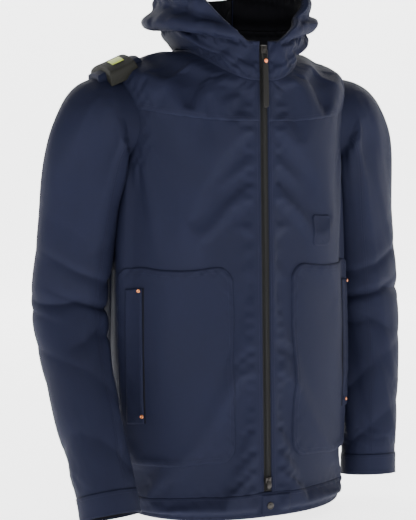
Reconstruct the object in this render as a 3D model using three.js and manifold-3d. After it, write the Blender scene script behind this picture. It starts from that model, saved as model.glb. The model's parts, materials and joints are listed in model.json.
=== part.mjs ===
// A hooded, full-zip foul weather jacket in its worn shape, arms hanging.
// Millimetres, +Z up. The jacket faces -Y, so the wearer's right side is -X.
// The origin is the top of the hanger loop inside the back of the neck.

import * as THREE from "three";
import { mergeVertices } from "three/addons/utils/BufferGeometryUtils.js";
import Module from "manifold-3d";

const wasm = await Module();
wasm.setup();

// ---------- driving dimensions ----------

const GAP = 0.5; // clearance between sewn layers
const SEAM = 0.4; // clearance between pieces that meet edge to edge
const SHELL = 2.0; // outer fabric
const LINING = 1.4; // inner mesh lining

// Body, measured up the centre front from the hem.
const BACK_LENGTH = 716; // hem to nape
const FRONT_NECK = 668; // hem to the neck seam at the zip
const COLLAR_TOP = 724; // hem to the top of the zip
const HOOD_TOP = 790; // hem to the standing edge of the hood
const YOKE_LINE = 608; // hem to the yoke seam
const HEM_BAND = 37;
const CHEST_HALF_WIDTH = 195;
const HEM_HALF_WIDTH = 178;
const CHEST_BACK = 140; // how far the back stands behind the shoulder line
const NECK_HALF_WIDTH = 90;
const SHOULDER_HALF_WIDTH = 186;
const HEM_FRONT = 150; // how far the zip stands forward of the shoulder line at the hem
const ZIP_LEAN = 22 / 724; // the zip leans back this much for each millimetre up
const ROUNDNESS = 2.25; // exponent of the body's section, 2 is an ellipse

// Sleeves.
const ARMHOLE_CENTRE = [184, 2, 603];
const ARMHOLE_HALF_HEIGHT = 63;
const SLEEVE_DEPTH = 0.93; // front-to-back size over side-to-side size
const ELBOW_RADIUS = 57;
const CUFF_RADIUS = 45;
const CUFF_LENGTH = 32;
const SLEEVE_FABRIC = 2.0;

// Zip.
const TAPE_WIDTH = 16;
const TAPE_THICK = 1.0;
const TAPE_BACK = 4.9; // back of the tape behind the body surface
const CHAIN_WIDTH = 6.0;
const TOOTH_PITCH = 18.0;
const TOOTH_HEIGHT = 2.4;
const ZIP_BOTTOM = HEM_BAND + 3;

// Pockets.
const POCKET = { inner: 13, outer: 80, bottom: 88, top: 389, corner: 27, bulk: 3.0 };
const WELT = { inner: 58, outer: 68, bottom: 152, top: 356, thick: 1.6 };
const RIVET_RADIUS = 4.2;
const RIVET_HEIGHT = 1.6;

// Small parts.
const CHEST_PATCH = { inner: 25, outer: 38, bottom: 418, top: 466, thick: 1.2, seat: 0.8 };
const STRAP = { halfAngle: 9, bottom: 641, top: 662, thick: 2.2 };
const LOOP = { halfAngle: 13, bottom: 643, top: 652, thick: 1.5 };
const SNAP_RADIUS = 5.6;
const TAB = { free: 12, hinge: 36, thick: 2.0 };
const HANGER = { halfWidth: 30, drop: 24, ribbon: 7, thick: 1.6, height: 660 };
const SLIDER = { width: 11, length: 13, thick: 2.6, link: 15, wire: 1.5, tab: 78, tabWidth: 10, tabThick: 2.2 };
const LOW_SLIDER = { bottom: 52, length: 11, pull: 13 };
const HOOD = { edge: 156, bulge: 70, bottom: 656, seat: 2.3, fabric: 2.0 };

// ---------- small tools ----------

const degrees = (value) => (value * Math.PI) / 180;
const mix = (a, b, t) => a + (b - a) * t;

// Smooth curve through values at rising keys.
function curve(keys, values) {
  return (x) => {
    let i = 0;
    while (i < keys.length - 2 && x > keys[i + 1]) i += 1;
    const span = keys[i + 1] - keys[i];
    const t = Math.min(Math.max((x - keys[i]) / span, 0), 1);
    const slope = (k) => {
      const low = Math.max(k - 1, 0);
      const high = Math.min(k + 1, keys.length - 1);
      return (values[high] - values[low]) / (keys[high] - keys[low]);
    };
    const t2 = t * t;
    const t3 = t2 * t;
    return (
      (2 * t3 - 3 * t2 + 1) * values[i] +
      (t3 - 2 * t2 + t) * span * slope(i) +
      (-2 * t3 + 3 * t2) * values[i + 1] +
      (t3 - t2) * span * slope(i + 1)
    );
  };
}

function bufferGeometry(points, triangles) {
  const geometry = new THREE.BufferGeometry();
  geometry.setAttribute("position", new THREE.Float32BufferAttribute(points.flat(), 3));
  geometry.setIndex(triangles.flat());
  return geometry;
}

function solid(geometry) {
  const clean = geometry.clone();
  for (const name of ["normal", "uv"]) clean.deleteAttribute(name);
  const merged = mergeVertices(clean, 1e-4);
  const vertProperties = new Float32Array(merged.attributes.position.array);
  const triVerts = new Uint32Array(merged.index.array);
  return new wasm.Manifold(new wasm.Mesh({ numProp: 3, vertProperties, triVerts }));
}

function geometryOf(body) {
  const mesh = body.getMesh();
  const geometry = new THREE.BufferGeometry();
  const positions = new Float32Array(mesh.vertProperties);
  geometry.setAttribute("position", new THREE.BufferAttribute(positions, 3));
  geometry.setIndex(new THREE.BufferAttribute(new Uint32Array(mesh.triVerts), 1));
  return geometry;
}

// A closed sheet from two grids of points, outer[row][column] and inner[row][column].
function sheet(outer, inner, round = false) {
  const rows = outer.length;
  const columns = outer[0].length;
  const points = [...outer.flat(), ...inner.flat()];
  const at = (side, row, column) => side * rows * columns + row * columns + (column % columns);
  const triangles = [];
  const quad = (a, b, c, d) => triangles.push([a, b, c], [a, c, d]);
  const lastColumn = round ? columns : columns - 1;
  for (let r = 0; r < rows - 1; r += 1) {
    for (let c = 0; c < lastColumn; c += 1) {
      quad(at(0, r, c), at(0, r, c + 1), at(0, r + 1, c + 1), at(0, r + 1, c));
      quad(at(1, r, c), at(1, r + 1, c), at(1, r + 1, c + 1), at(1, r, c + 1));
    }
    if (round) continue;
    quad(at(0, r, 0), at(0, r + 1, 0), at(1, r + 1, 0), at(1, r, 0));
    quad(at(0, r, columns - 1), at(1, r, columns - 1), at(1, r + 1, columns - 1), at(0, r + 1, columns - 1));
  }
  for (let c = 0; c < lastColumn; c += 1) {
    quad(at(0, 0, c), at(1, 0, c), at(1, 0, c + 1), at(0, 0, c + 1));
    quad(at(0, rows - 1, c), at(0, rows - 1, c + 1), at(1, rows - 1, c + 1), at(1, rows - 1, c));
  }
  return bufferGeometry(points, triangles);
}

// ---------- the body surface ----------
// A point is named by its angle round the body from the centre front, wearer's left positive,
// and by its height, which is measured up the centre front.

const heights = [0, 100, 250, 450, 560, YOKE_LINE, 636, 655, FRONT_NECK, COLLAR_TOP, HOOD_TOP];
const sideHeight = curve(heights, [0, 100, 250, 450, 560, 628, 668, 690, 703, 746, 806]);
const backHeight = curve(heights, [0, 100, 250, 450, 560, 612, 664, 698, BACK_LENGTH, 752, 812]);
const halfWidth = curve(heights, [
  HEM_HALF_WIDTH, CHEST_HALF_WIDTH - 5, CHEST_HALF_WIDTH, CHEST_HALF_WIDTH, CHEST_HALF_WIDTH - 7,
  SHOULDER_HALF_WIDTH + 4, SHOULDER_HALF_WIDTH, 132, NECK_HALF_WIDTH, NECK_HALF_WIDTH + 16, NECK_HALF_WIDTH + 24,
]);
const backDepth = curve(heights, [
  CHEST_BACK - 10, CHEST_BACK - 2, CHEST_BACK, CHEST_BACK, CHEST_BACK - 2, CHEST_BACK - 10, 114, 96, 74, 84, 90,
]);
const frontDepth = (height) => HEM_FRONT - ZIP_LEAN * height;

function bodyPoint(angle, height) {
  const turn = degrees(angle);
  const power = 2 / ROUNDNESS;
  const side = Math.sign(Math.sin(turn)) * Math.abs(Math.sin(turn)) ** power;
  const ahead = Math.sign(Math.cos(turn)) * Math.abs(Math.cos(turn)) ** power;
  const middle = (backDepth(height) - frontDepth(height)) / 2;
  const half = (backDepth(height) + frontDepth(height)) / 2;
  const share = Math.cos(turn) ** 2;
  const end = Math.cos(turn) > 0 ? height : backHeight(height);
  return new THREE.Vector3(halfWidth(height) * side, middle - half * ahead, mix(sideHeight(height), end, share));
}

// Every layer is cut from one lattice, so stacked layers have parallel facets.
const ANGLE_STEP = 12;
const LAST_ANGLE = 360; // the lattice laps itself so that a piece can run round the back
const rowHeights = [
  0, HEM_BAND, 105, 195, 290, 375, 450, 515, 565, YOKE_LINE, 632, 650, FRONT_NECK, 696, COLLAR_TOP, 757, HOOD_TOP,
];

function bodyNormal(angle, height) {
  const low = Math.max(height - 2, 0);
  const high = Math.min(height + 2, HOOD_TOP);
  const across = bodyPoint(angle + 1, height).sub(bodyPoint(angle - 1, height));
  const up = bodyPoint(angle, high).sub(bodyPoint(angle, low));
  return across.cross(up).normalize();
}

const lattice = rowHeights.map((height) => {
  const row = [];
  for (let angle = -180; angle <= LAST_ANGLE; angle += ANGLE_STEP) {
    row.push({ point: bodyPoint(angle, height), normal: bodyNormal(angle, height) });
  }
  return row;
});

function onBody(angle, height, offset) {
  let row = 0;
  while (row < rowHeights.length - 2 && height > rowHeights[row + 1]) row += 1;
  const up = (height - rowHeights[row]) / (rowHeights[row + 1] - rowHeights[row]);
  const place = (angle + 180) / ANGLE_STEP;
  const column = Math.min(Math.max(Math.floor(place), 0), (LAST_ANGLE + 180) / ANGLE_STEP - 1);
  const across = place - column;
  const result = new THREE.Vector3();
  for (const [r, c, share] of [
    [row, column, (1 - up) * (1 - across)],
    [row, column + 1, (1 - up) * across],
    [row + 1, column, up * (1 - across)],
    [row + 1, column + 1, up * across],
  ]) {
    result.addScaledVector(lattice[r][c].point, share);
    result.addScaledVector(lattice[r][c].normal, share * offset);
  }
  return result.toArray();
}

// The values from low to high that a layer has its edges on: its own ends and the lattice lines between.
function linesBetween(low, high, lines) {
  return [low, ...lines.filter((line) => line > low + 0.5 && line < high - 0.5), high];
}

const angleLines = Array.from({ length: (LAST_ANGLE + 180) / ANGLE_STEP + 1 }, (_, i) => -180 + i * ANGLE_STEP);

// A sheet on the body between two angles and two heights. inner and outer are distances off the body,
// and the angles may be functions of the height.
function layer({ from, to, bottom, top, inner, outer, rows = [] }) {
  const start = typeof from === "function" ? from : () => from;
  const end = typeof to === "function" ? to : () => to;
  const lines = [...new Set([...linesBetween(bottom, top, rowHeights), ...rows])].sort((a, b) => a - b);
  const middle = (bottom + top) / 2;
  const shares = linesBetween(start(middle), end(middle), angleLines).map(
    (angle) => (angle - start(middle)) / (end(middle) - start(middle)),
  );
  const grid = (offset) =>
    lines.map((height) => shares.map((share) => onBody(mix(start(height), end(height), share), height, offset)));
  return sheet(grid(outer), grid(inner));
}

// The angle at which a layer edge that runs beside the zip stays the same distance from it.
function besideZip(distance) {
  return (height) => (distance / onBody(ANGLE_STEP, height, 0)[0]) * ANGLE_STEP;
}

// ---------- sleeves ----------
// Rings from the armhole to the cuff: a centre, the tilt of the sleeve below level, and a radius.
// reach is how far forward of the shoulder line the cuff hangs.

function sleeveRings(side, reach) {
  const [x, y, z] = ARMHOLE_CENTRE;
  const rings = [
    [x - 40, y, z + 4, 0, ARMHOLE_HALF_HEIGHT, 0],
    [x, y, z, 4, ARMHOLE_HALF_HEIGHT, 0],
    [x + 26, y + 1, z - 9, 30, 66, 0],
    [x + 52, y + 3, 556, 56, 66, 0],
    [252, y + 6, 505, 74, 64, 0],
    [261, y + 9, 440, 80, 61, 0],
    [268, y + 11, 385, 82, 59, 0],
    [274, y + 12, 336, 84, ELBOW_RADIUS, 4],
    [276, y + 12 - reach * 0.1, 290, 88, 56, 12],
    [275, y + 12 - reach * 0.3, 230, 91, 54, 17],
    [271, y + 12 - reach * 0.53, 165, 92, 51, 20],
    [266, y + 12 - reach * 0.78, 95, 92, 47, 22],
    [262, y + 12 - reach * 0.92, 52, 92, CUFF_RADIUS, 22],
    [260, y + 12 - reach, 20, 92, CUFF_RADIUS, 22],
  ];
  return rings.map(([cx, cy, cz, tilt, radius, swing]) => {
    const down = degrees(tilt);
    const forward = degrees((swing * reach) / 140);
    const along = new THREE.Vector3(Math.cos(down), 0, -Math.sin(down));
    const up = new THREE.Vector3(Math.sin(down), 0, Math.cos(down));
    const lateral = new THREE.Vector3(1, 0, 0);
    for (const axis of [along, up]) axis.applyAxisAngle(lateral, -forward);
    const depth = new THREE.Vector3(0, 1, 0).applyAxisAngle(lateral, -forward);
    return { centre: new THREE.Vector3(cx, cy, cz), along, up, depth, radius, side };
  });
}

const SLEEVE_SIDES = 16;

function ringPoints(ring, offset) {
  return Array.from({ length: SLEEVE_SIDES }, (_, i) => {
    const turn = (i / SLEEVE_SIDES) * 2 * Math.PI;
    const point = ring.centre.clone();
    point.addScaledVector(ring.up, (ring.radius + offset) * Math.cos(turn));
    point.addScaledVector(ring.depth, (ring.radius * SLEEVE_DEPTH + offset) * Math.sin(turn) * ring.side);
    point.x *= ring.side;
    return point.toArray();
  });
}

// A tube through some of the rings. Ends are drawn back by half the seam gap.
function tube(rings, outer, inner, { trimStart = SEAM / 2, trimEnd = SEAM / 2 } = {}) {
  const moved = rings.map((ring, index) => {
    const copy = { ...ring, centre: ring.centre.clone() };
    if (index === 0) copy.centre.addScaledVector(ring.along, trimStart);
    if (index === rings.length - 1) copy.centre.addScaledVector(ring.along, -trimEnd);
    return copy;
  });
  const grid = (offset) => moved.map((ring) => ringPoints(ring, offset)).reverse();
  return sheet(grid(outer), grid(inner), true);
}

// The same rings as one solid, for cutting.
function rod(rings, offset) {
  const grid = rings.map((ring) => ringPoints(ring, offset)).reverse();
  const points = grid.flat();
  const triangles = [];
  const at = (row, column) => row * SLEEVE_SIDES + (column % SLEEVE_SIDES);
  for (let r = 0; r < grid.length - 1; r += 1) {
    for (let c = 0; c < SLEEVE_SIDES; c += 1) {
      triangles.push([at(r, c), at(r, c + 1), at(r + 1, c + 1)], [at(r, c), at(r + 1, c + 1), at(r + 1, c)]);
    }
  }
  for (let c = 1; c < SLEEVE_SIDES - 1; c += 1) {
    triangles.push([at(0, 0), at(0, c + 1), at(0, c)]);
    triangles.push([at(grid.length - 1, 0), at(grid.length - 1, c), at(grid.length - 1, c + 1)]);
  }
  return bufferGeometry(points, triangles);
}

// ---------- materials and assembly ----------

const colours = {
  shell: [0x2b3048, 0.62, 0],
  lining: [0x15161a, 0.85, 0],
  webbing: [0x1c1c1e, 0.8, 0],
  tape: [0x2a2928, 0.8, 0],
  tooth: [0x343230, 0.45, 0],
  metal: [0x55504c, 0.35, 1],
  copper: [0xc97a4e, 0.35, 1],
  leather: [0x1a1817, 0.6, 0],
  accent: [0xe07a40, 0.5, 0],
  badge: [0xb9c24a, 0.6, 0],
};

const jacket = new THREE.Group();

function add(name, geometry, material, place = null) {
  const [color, roughness, metalness] = colours[material];
  const mesh = new THREE.Mesh(geometry, new THREE.MeshStandardMaterial({ color, roughness, metalness }));
  mesh.name = name;
  if (place) mesh.position.set(...place);
  jacket.add(mesh);
  return mesh;
}

const sides = [
  ["right", -1],
  ["left", 1],
];

// A body angle range on one side of the jacket, given as distances from the centre front.
function range(side, near, far) {
  const nearOf = typeof near === "function" ? near : () => near;
  const farOf = typeof far === "function" ? far : () => far;
  return side < 0
    ? { from: (h) => -farOf(h), to: (h) => -nearOf(h) }
    : { from: (h) => nearOf(h), to: (h) => farOf(h) };
}

// Angle limits that round the corners of a patch.
function roundedRange(side, { inner, outer, bottom, top, corner }) {
  const cut = (h) => {
    const depth = Math.max(corner - Math.min(h - bottom, top - h), 0);
    const inset = corner - Math.sqrt(Math.max(corner ** 2 - depth ** 2, 0));
    return (inset / CHEST_HALF_WIDTH) * (180 / Math.PI);
  };
  return range(side, (h) => inner + cut(h), (h) => outer - cut(h));
}

function cornerRows({ bottom, top, corner }) {
  const steps = [0.08, 0.3, 0.65];
  return steps.flatMap((step) => [bottom + corner * step, top - corner * step]);
}

// ---------- sleeves and the solids that cut the body ----------

const REACH = { right: 135, left: 48 };
const sleeves = Object.fromEntries(sides.map(([name, side]) => [name, sleeveRings(side, REACH[name])]));
const ELBOW_RING = 7;
const CUFF_RING = 12;

function bodyCore(offset) {
  const rows = rowHeights.map((height) =>
    angleLines.slice(0, 360 / ANGLE_STEP).map((angle) => onBody(angle, height, offset)),
  );
  const columns = 360 / ANGLE_STEP;
  const at = (row, column) => row * columns + (column % columns);
  const triangles = [];
  for (let r = 0; r < rows.length - 1; r += 1) {
    for (let c = 0; c < columns; c += 1) {
      triangles.push([at(r, c), at(r, c + 1), at(r + 1, c + 1)], [at(r, c), at(r + 1, c + 1), at(r + 1, c)]);
    }
  }
  for (let c = 1; c < columns - 1; c += 1) {
    triangles.push([at(0, 0), at(0, c + 1), at(0, c)]);
    triangles.push([at(rows.length - 1, 0), at(rows.length - 1, c), at(rows.length - 1, c + 1)]);
  }
  return solid(bufferGeometry(rows.flat(), triangles));
}

const armholeCutters = sides.map(([name]) => solid(rod(sleeves[name], SEAM)));
const shellCore = bodyCore(SEAM);

// Cut one shell or lining piece by both armholes.
function cutArmholes(geometry) {
  const piece = armholeCutters.reduce((rest, cutter) => rest.subtract(cutter), solid(geometry));
  return geometryOf(largest(piece));
}

function largest(piece) {
  return piece.decompose().reduce((best, part) => (part.volume() > best.volume() ? part : best));
}

for (const [name, side] of sides) {
  const rings = sleeves[name];
  const upper = rings.slice(0, ELBOW_RING + 1);
  const fore = rings.slice(ELBOW_RING, CUFF_RING + 1);
  const cuff = rings.slice(CUFF_RING);
  const liningOut = -SLEEVE_FABRIC - GAP;
  const liningIn = liningOut - LINING;
  const outerTube = solid(tube(upper, 0, -SLEEVE_FABRIC)).subtract(shellCore);
  const liningTube = solid(tube(upper, liningOut, liningIn)).subtract(shellCore);
  add(`sleeve_upper_${name}`, geometryOf(largest(outerTube)), "shell");
  add(`sleeve_lining_upper_${name}`, geometryOf(largest(liningTube)), "lining");
  add(`sleeve_forearm_${name}`, tube(fore, 0, -SLEEVE_FABRIC), "shell");
  add(`sleeve_lining_forearm_${name}`, tube(fore, liningOut, liningIn), "lining");
  add(`cuff_${name}`, tube(cuff, 0.6, -SLEEVE_FABRIC), "shell");
}

// ---------- body panels ----------

const SIDE_SEAM = 92; // angle of the side seams
const PANEL_EDGE = 4.5; // panel edge to the middle of the zip
const seamAngle = (SEAM / CHEST_HALF_WIDTH) * 28.65;
const shellSkin = { inner: -SHELL, outer: 0 };
const liningSkin = { inner: -SHELL - GAP - LINING, outer: -SHELL - GAP };

for (const [name, side] of sides) {
  const front = range(side, besideZip(PANEL_EDGE), SIDE_SEAM - seamAngle);
  const panel = layer({ ...front, bottom: HEM_BAND + SEAM, top: YOKE_LINE - SEAM, ...shellSkin });
  const yoke = layer({ ...front, bottom: YOKE_LINE, top: FRONT_NECK - SEAM, ...shellSkin });
  const inside = range(side, besideZip(TAPE_WIDTH + 2), SIDE_SEAM - seamAngle);
  const lined = layer({ ...inside, bottom: HEM_BAND + SEAM, top: FRONT_NECK - SEAM, ...liningSkin });
  add(`front_panel_${name}`, cutArmholes(panel), "shell");
  add(`front_yoke_${name}`, cutArmholes(yoke), "shell");
  add(`body_lining_${name}`, cutArmholes(lined), "lining");
}

const backRange = { from: SIDE_SEAM + seamAngle, to: 360 - SIDE_SEAM - seamAngle };
const backPanel = layer({ ...backRange, bottom: HEM_BAND + SEAM, top: YOKE_LINE - SEAM, ...shellSkin });
const backYoke = layer({ ...backRange, bottom: YOKE_LINE, top: FRONT_NECK - SEAM, ...shellSkin });
const backLining = layer({ ...backRange, bottom: HEM_BAND + SEAM, top: FRONT_NECK - SEAM, ...liningSkin });
add("back_panel", cutArmholes(backPanel), "shell");
add("back_yoke", cutArmholes(backYoke), "shell");
add("body_lining_back", cutArmholes(backLining), "lining");

// ---------- hem ----------

const hemSkin = { inner: -SHELL - GAP - LINING, outer: 0.4 };
const UNDERLAP = 14; // the right hem band runs this far past the zip
const farSide = SIDE_SEAM - seamAngle;
const hem = { bottom: 0, top: HEM_BAND, ...hemSkin };
add("hem_band_right", layer({ ...hem, from: -farSide, to: besideZip(UNDERLAP) }), "shell");
add("hem_band_left", layer({ ...hem, from: besideZip(UNDERLAP + 1), to: farSide }), "shell");
add("hem_band_back", layer({ ...hem, ...backRange }), "shell");

const tabInner = hemSkin.outer + 1.6;
const tabEdge = besideZip(TAB.free);
add(
  "hem_tab",
  layer({ from: (h) => -tabEdge(h), to: besideZip(TAB.hinge), bottom: 1, top: HEM_BAND - 1, inner: tabInner, outer: tabInner + TAB.thick }),
  "shell",
);
const snapHeight = (HEM_BAND - 1) / 2;
const snapFace = -frontDepth(snapHeight);

// A disc whose face looks forward, standing from one distance off the front to another.
function disc(radius, x, height, inner, outer, bevel = 0) {
  const long = outer - inner;
  const profile = [
    new THREE.Vector2(0, 0),
    new THREE.Vector2(radius, 0),
    new THREE.Vector2(radius, long - bevel),
    new THREE.Vector2(radius - bevel * 1.5, long),
    new THREE.Vector2(0, long),
  ];
  const geometry = new THREE.LatheGeometry(profile, 20);
  geometry.rotateX(Math.PI / 2); // the lathe's axis, +Y, turns to +Z
  geometry.rotateX(Math.PI / 2); // and then to -Y
  geometry.translate(x, snapFace - inner, height);
  return geometryOf(solid(geometry));
}

add("snap_cap", disc(SNAP_RADIUS, 2, snapHeight, tabInner + TAB.thick + 0.4, tabInner + TAB.thick + 2.2, 0.7), "metal");
add("snap_stud", disc(SNAP_RADIUS - 1.6, 2, snapHeight, hemSkin.outer + 0.3, hemSkin.outer + 1.2, 0.2), "metal");

// ---------- collar and the standing sides of the hood ----------

const COLLAR_FRONT = 7; // collar edge to the middle of the zip
const HOOD_FRONT = 27; // angle where the hood's standing side begins
const HOOD_BACK = 148; // and where it ends beside the crown
const CREASE = 5; // drop of the fold line between collar and hood

for (const [name, side] of sides) {
  const around = range(side, besideZip(COLLAR_FRONT), 180 - seamAngle);
  add(`collar_${name}`, layer({ ...around, bottom: FRONT_NECK, top: COLLAR_TOP - SEAM, ...shellSkin }), "shell");
  const within = range(side, besideZip(TAPE_WIDTH + 2), 180 - seamAngle);
  add(`collar_lining_${name}`, layer({ ...within, bottom: FRONT_NECK, top: COLLAR_TOP - SEAM, ...liningSkin }), "lining");
  const rise = (h) => HOOD_FRONT + ((h - COLLAR_TOP) / (HOOD_TOP - COLLAR_TOP)) * 26;
  const standing = range(side, rise, HOOD_BACK);
  const tall = { bottom: COLLAR_TOP + SEAM * 2, top: HOOD_TOP - CREASE };
  add(`hood_side_${name}`, layer({ ...standing, ...tall, ...shellSkin }), "shell");
  add(`hood_lining_${name}`, layer({ ...standing, ...tall, ...liningSkin }), "lining");
}

// ---------- hood crown, lying open behind the neck ----------

const crownTop = HOOD_TOP - CREASE;
const crownDepth = curve([HOOD.bottom, 670, 695, 735, crownTop], [46, 52, 62, 68, HOOD.bulge]);

// The crown is a deep fold whose two edges stand on the back of the yoke, collar and hood.
function crown(offset) {
  const rows = 6;
  const columns = 12;
  return Array.from({ length: rows + 1 }, (_, r) => {
    const height = mix(HOOD.bottom, crownTop, r / rows);
    const [x, y, z] = onBody(HOOD.edge, height, HOOD.seat);
    return Array.from({ length: columns + 1 }, (_, c) => {
      const turn = mix(-Math.PI / 2, Math.PI / 2, c / columns);
      const depth = crownDepth(height) + offset;
      return [-(x + offset) * Math.sin(turn), y + depth * Math.cos(turn) ** 0.9, z];
    });
  });
}

const crownLiningOut = -HOOD.fabric - GAP;
add("hood_crown", sheet(crown(0), crown(-HOOD.fabric)), "shell");
add("hood_crown_lining", sheet(crown(crownLiningOut), crown(crownLiningOut - LINING)), "lining");

// ---------- zip ----------
// Everything on the zip is drawn upright at the origin and then stood on the zip line.

const zipAngle = Math.atan(ZIP_LEAN);

function onZip(geometry, x, height, forward) {
  geometry.rotateX(-zipAngle);
  geometry.translate(x, -frontDepth(height) - forward, height);
  return geometryOf(solid(geometry));
}

function extrudeForward(shape, thick, curveSegments = 8) {
  const geometry = new THREE.ExtrudeGeometry(shape, { depth: thick, bevelEnabled: false, curveSegments });
  geometry.rotateX(Math.PI / 2); // the outline now stands in X and Z and the depth runs to -Y
  return geometry;
}

function roundedRectangle(width, height, radius) {
  const shape = new THREE.Shape();
  const [w, h] = [width / 2, height / 2];
  shape.moveTo(-w + radius, -h);
  shape.lineTo(w - radius, -h);
  shape.absarc(w - radius, -h + radius, radius, -Math.PI / 2, 0);
  shape.lineTo(w, h - radius);
  shape.absarc(w - radius, h - radius, radius, 0, Math.PI / 2);
  shape.lineTo(-w + radius, h);
  shape.absarc(-w + radius, h - radius, radius, Math.PI / 2, Math.PI);
  shape.lineTo(-w, -h + radius);
  shape.absarc(-w + radius, -h + radius, radius, Math.PI, 1.5 * Math.PI);
  return shape;
}

function chain(side) {
  const length = COLLAR_TOP - 6 - ZIP_BOTTOM;
  const half = CHAIN_WIDTH / 2;
  const count = Math.floor((length - TOOTH_PITCH) / TOOTH_PITCH);
  const shape = new THREE.Shape();
  const tooth = TOOTH_PITCH / 3;
  const start = side < 0 ? TOOTH_PITCH * 0.25 : TOOTH_PITCH * 0.75;
  shape.moveTo(side * (half + 1), 0);
  shape.lineTo(side * half * 0.9, 0);
  for (let i = 0; i < count; i += 1) {
    const z = start + i * TOOTH_PITCH;
    shape.lineTo(side * half * 0.9, z);
    shape.lineTo(-side * half * 0.6, z);
    shape.lineTo(-side * half * 0.6, z + tooth);
    shape.lineTo(side * half * 0.9, z + tooth);
  }
  shape.lineTo(side * half * 0.9, length);
  shape.lineTo(side * (half + 1), length);
  shape.closePath();
  return onZip(extrudeForward(shape, TOOTH_HEIGHT), 0, ZIP_BOTTOM, -1.4);
}

for (const [name, side] of sides) {
  const length = COLLAR_TOP - 4 - ZIP_BOTTOM;
  const tape = new THREE.BoxGeometry(TAPE_WIDTH - 1.2, TAPE_THICK, length);
  tape.translate(0, 0, length / 2);
  const middle = side * (TAPE_WIDTH / 2 + 1.2);
  add(`zip_tape_${name}`, onZip(tape, middle, ZIP_BOTTOM, -TAPE_BACK + TAPE_THICK / 2), "tape");
  add(`zip_teeth_${name}`, chain(side), "tooth");
}

// ---------- sliders and pulls ----------

function sliderBody(length) {
  const { width, thick } = SLIDER;
  return extrudeForward(roundedRectangle(width, length, width * 0.28), thick, 4);
}

const CHAIN_FACE = 1.4; // the slider's back stands this far off the front, just clear of the teeth
const topHeight = COLLAR_TOP - SLIDER.length / 2 - 4;
const pullFace = CHAIN_FACE + SLIDER.thick + 0.4;

function wireLink(height) {
  const outline = roundedRectangle(SLIDER.width - 2, SLIDER.link, 2);
  outline.holes.push(new THREE.Path(roundedRectangle(SLIDER.width - 5, SLIDER.link - 3, 1).getPoints(3)));
  return onZip(extrudeForward(outline, SLIDER.wire, 3), 0, height, pullFace);
}

const linkHeight = topHeight - SLIDER.link / 2;
const tabTop = linkHeight - SLIDER.link / 2 + 1;
const tabFace = pullFace + SLIDER.wire + 0.4;
add("top_slider", onZip(sliderBody(SLIDER.length), 0, topHeight, CHAIN_FACE), "metal");
add("pull_link", wireLink(linkHeight), "metal");
const tabShape = roundedRectangle(SLIDER.tabWidth, SLIDER.tab, 4.5);
add("pull_tab", onZip(extrudeForward(tabShape, SLIDER.tabThick, 4), 0, tabTop - SLIDER.tab / 2 + 4, tabFace), "leather");
const dot = new THREE.CylinderGeometry(3, 3, 1.2, 16);
dot.translate(0, -0.6, 0);
add("pull_tab_dot", onZip(dot, 0, tabTop - 3, tabFace + SLIDER.tabThick + 0.4), "accent");

const lowHeight = LOW_SLIDER.bottom + LOW_SLIDER.length / 2;
add("bottom_slider", onZip(sliderBody(LOW_SLIDER.length), 0, lowHeight, CHAIN_FACE), "metal");
const lowPull = roundedRectangle(SLIDER.width - 3, LOW_SLIDER.pull, 2.5);
add("bottom_pull", onZip(extrudeForward(lowPull, 1.6, 4), 0, LOW_SLIDER.bottom - 1, pullFace), "metal");

// ---------- pockets, patch and rivets ----------

const patchFace = GAP + 1.2;
const weltFace = patchFace + POCKET.bulk + GAP;

function rivet(angle, height, face) {
  const inside = new THREE.Vector3(...onBody(angle, height, face));
  const outside = new THREE.Vector3(...onBody(angle, height, face + 10));
  const geometry = new THREE.CylinderGeometry(RIVET_RADIUS * 0.8, RIVET_RADIUS, RIVET_HEIGHT, 16);
  geometry.translate(0, RIVET_HEIGHT / 2, 0);
  const turn = new THREE.Quaternion().setFromUnitVectors(new THREE.Vector3(0, 1, 0), outside.sub(inside).normalize());
  geometry.applyQuaternion(turn);
  geometry.translate(...inside);
  return geometryOf(solid(geometry));
}

for (const [name, side] of sides) {
  const rows = cornerRows(POCKET);
  const pocket = layer({ ...roundedRange(side, POCKET), ...POCKET, inner: patchFace, outer: patchFace + POCKET.bulk, rows });
  add(`pocket_${name}`, geometryOf(largest(solid(pocket))), "shell");
  const welt = range(side, WELT.inner, WELT.outer);
  add(`pocket_welt_${name}`, layer({ ...welt, ...WELT, inner: weltFace, outer: weltFace + WELT.thick }), "shell");
  const middle = side * (WELT.inner + WELT.outer) / 2;
  for (const [end, height] of [["upper", WELT.top - 6], ["lower", WELT.bottom + 6]]) {
    add(`pocket_rivet_${end}_${name}`, rivet(middle, height, weltFace + WELT.thick + 0.5), "copper");
  }
}

const patchRange = roundedRange(1, { ...CHEST_PATCH, corner: 8 });
add("chest_patch", layer({ ...patchRange, ...CHEST_PATCH, inner: CHEST_PATCH.seat, outer: CHEST_PATCH.seat + CHEST_PATCH.thick }), "shell");

// ---------- storm flap behind the zip, seen inside ----------

const FLAP = { halfWidth: 24, inner: -7.2, outer: -5.8 };
const flapEdge = besideZip(FLAP.halfWidth);
const flapRange = { from: (h) => -flapEdge(h), to: flapEdge, bottom: HEM_BAND + SEAM, top: COLLAR_TOP - 8 };
add("storm_flap", layer({ ...flapRange, inner: FLAP.inner, outer: FLAP.outer }), "lining");

// ---------- shoulder strap and webbing loop, wearer's right ----------

const STRAP_FACE = 3.0; // underside of the strap off the shoulder
function shoulderBand({ halfAngle, bottom, top }, inner, outer) {
  return layer({ from: -90 - halfAngle, to: -90 + halfAngle, bottom, top, inner, outer });
}
add("shoulder_strap", shoulderBand(STRAP, STRAP_FACE, STRAP_FACE + STRAP.thick), "shell");

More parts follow.
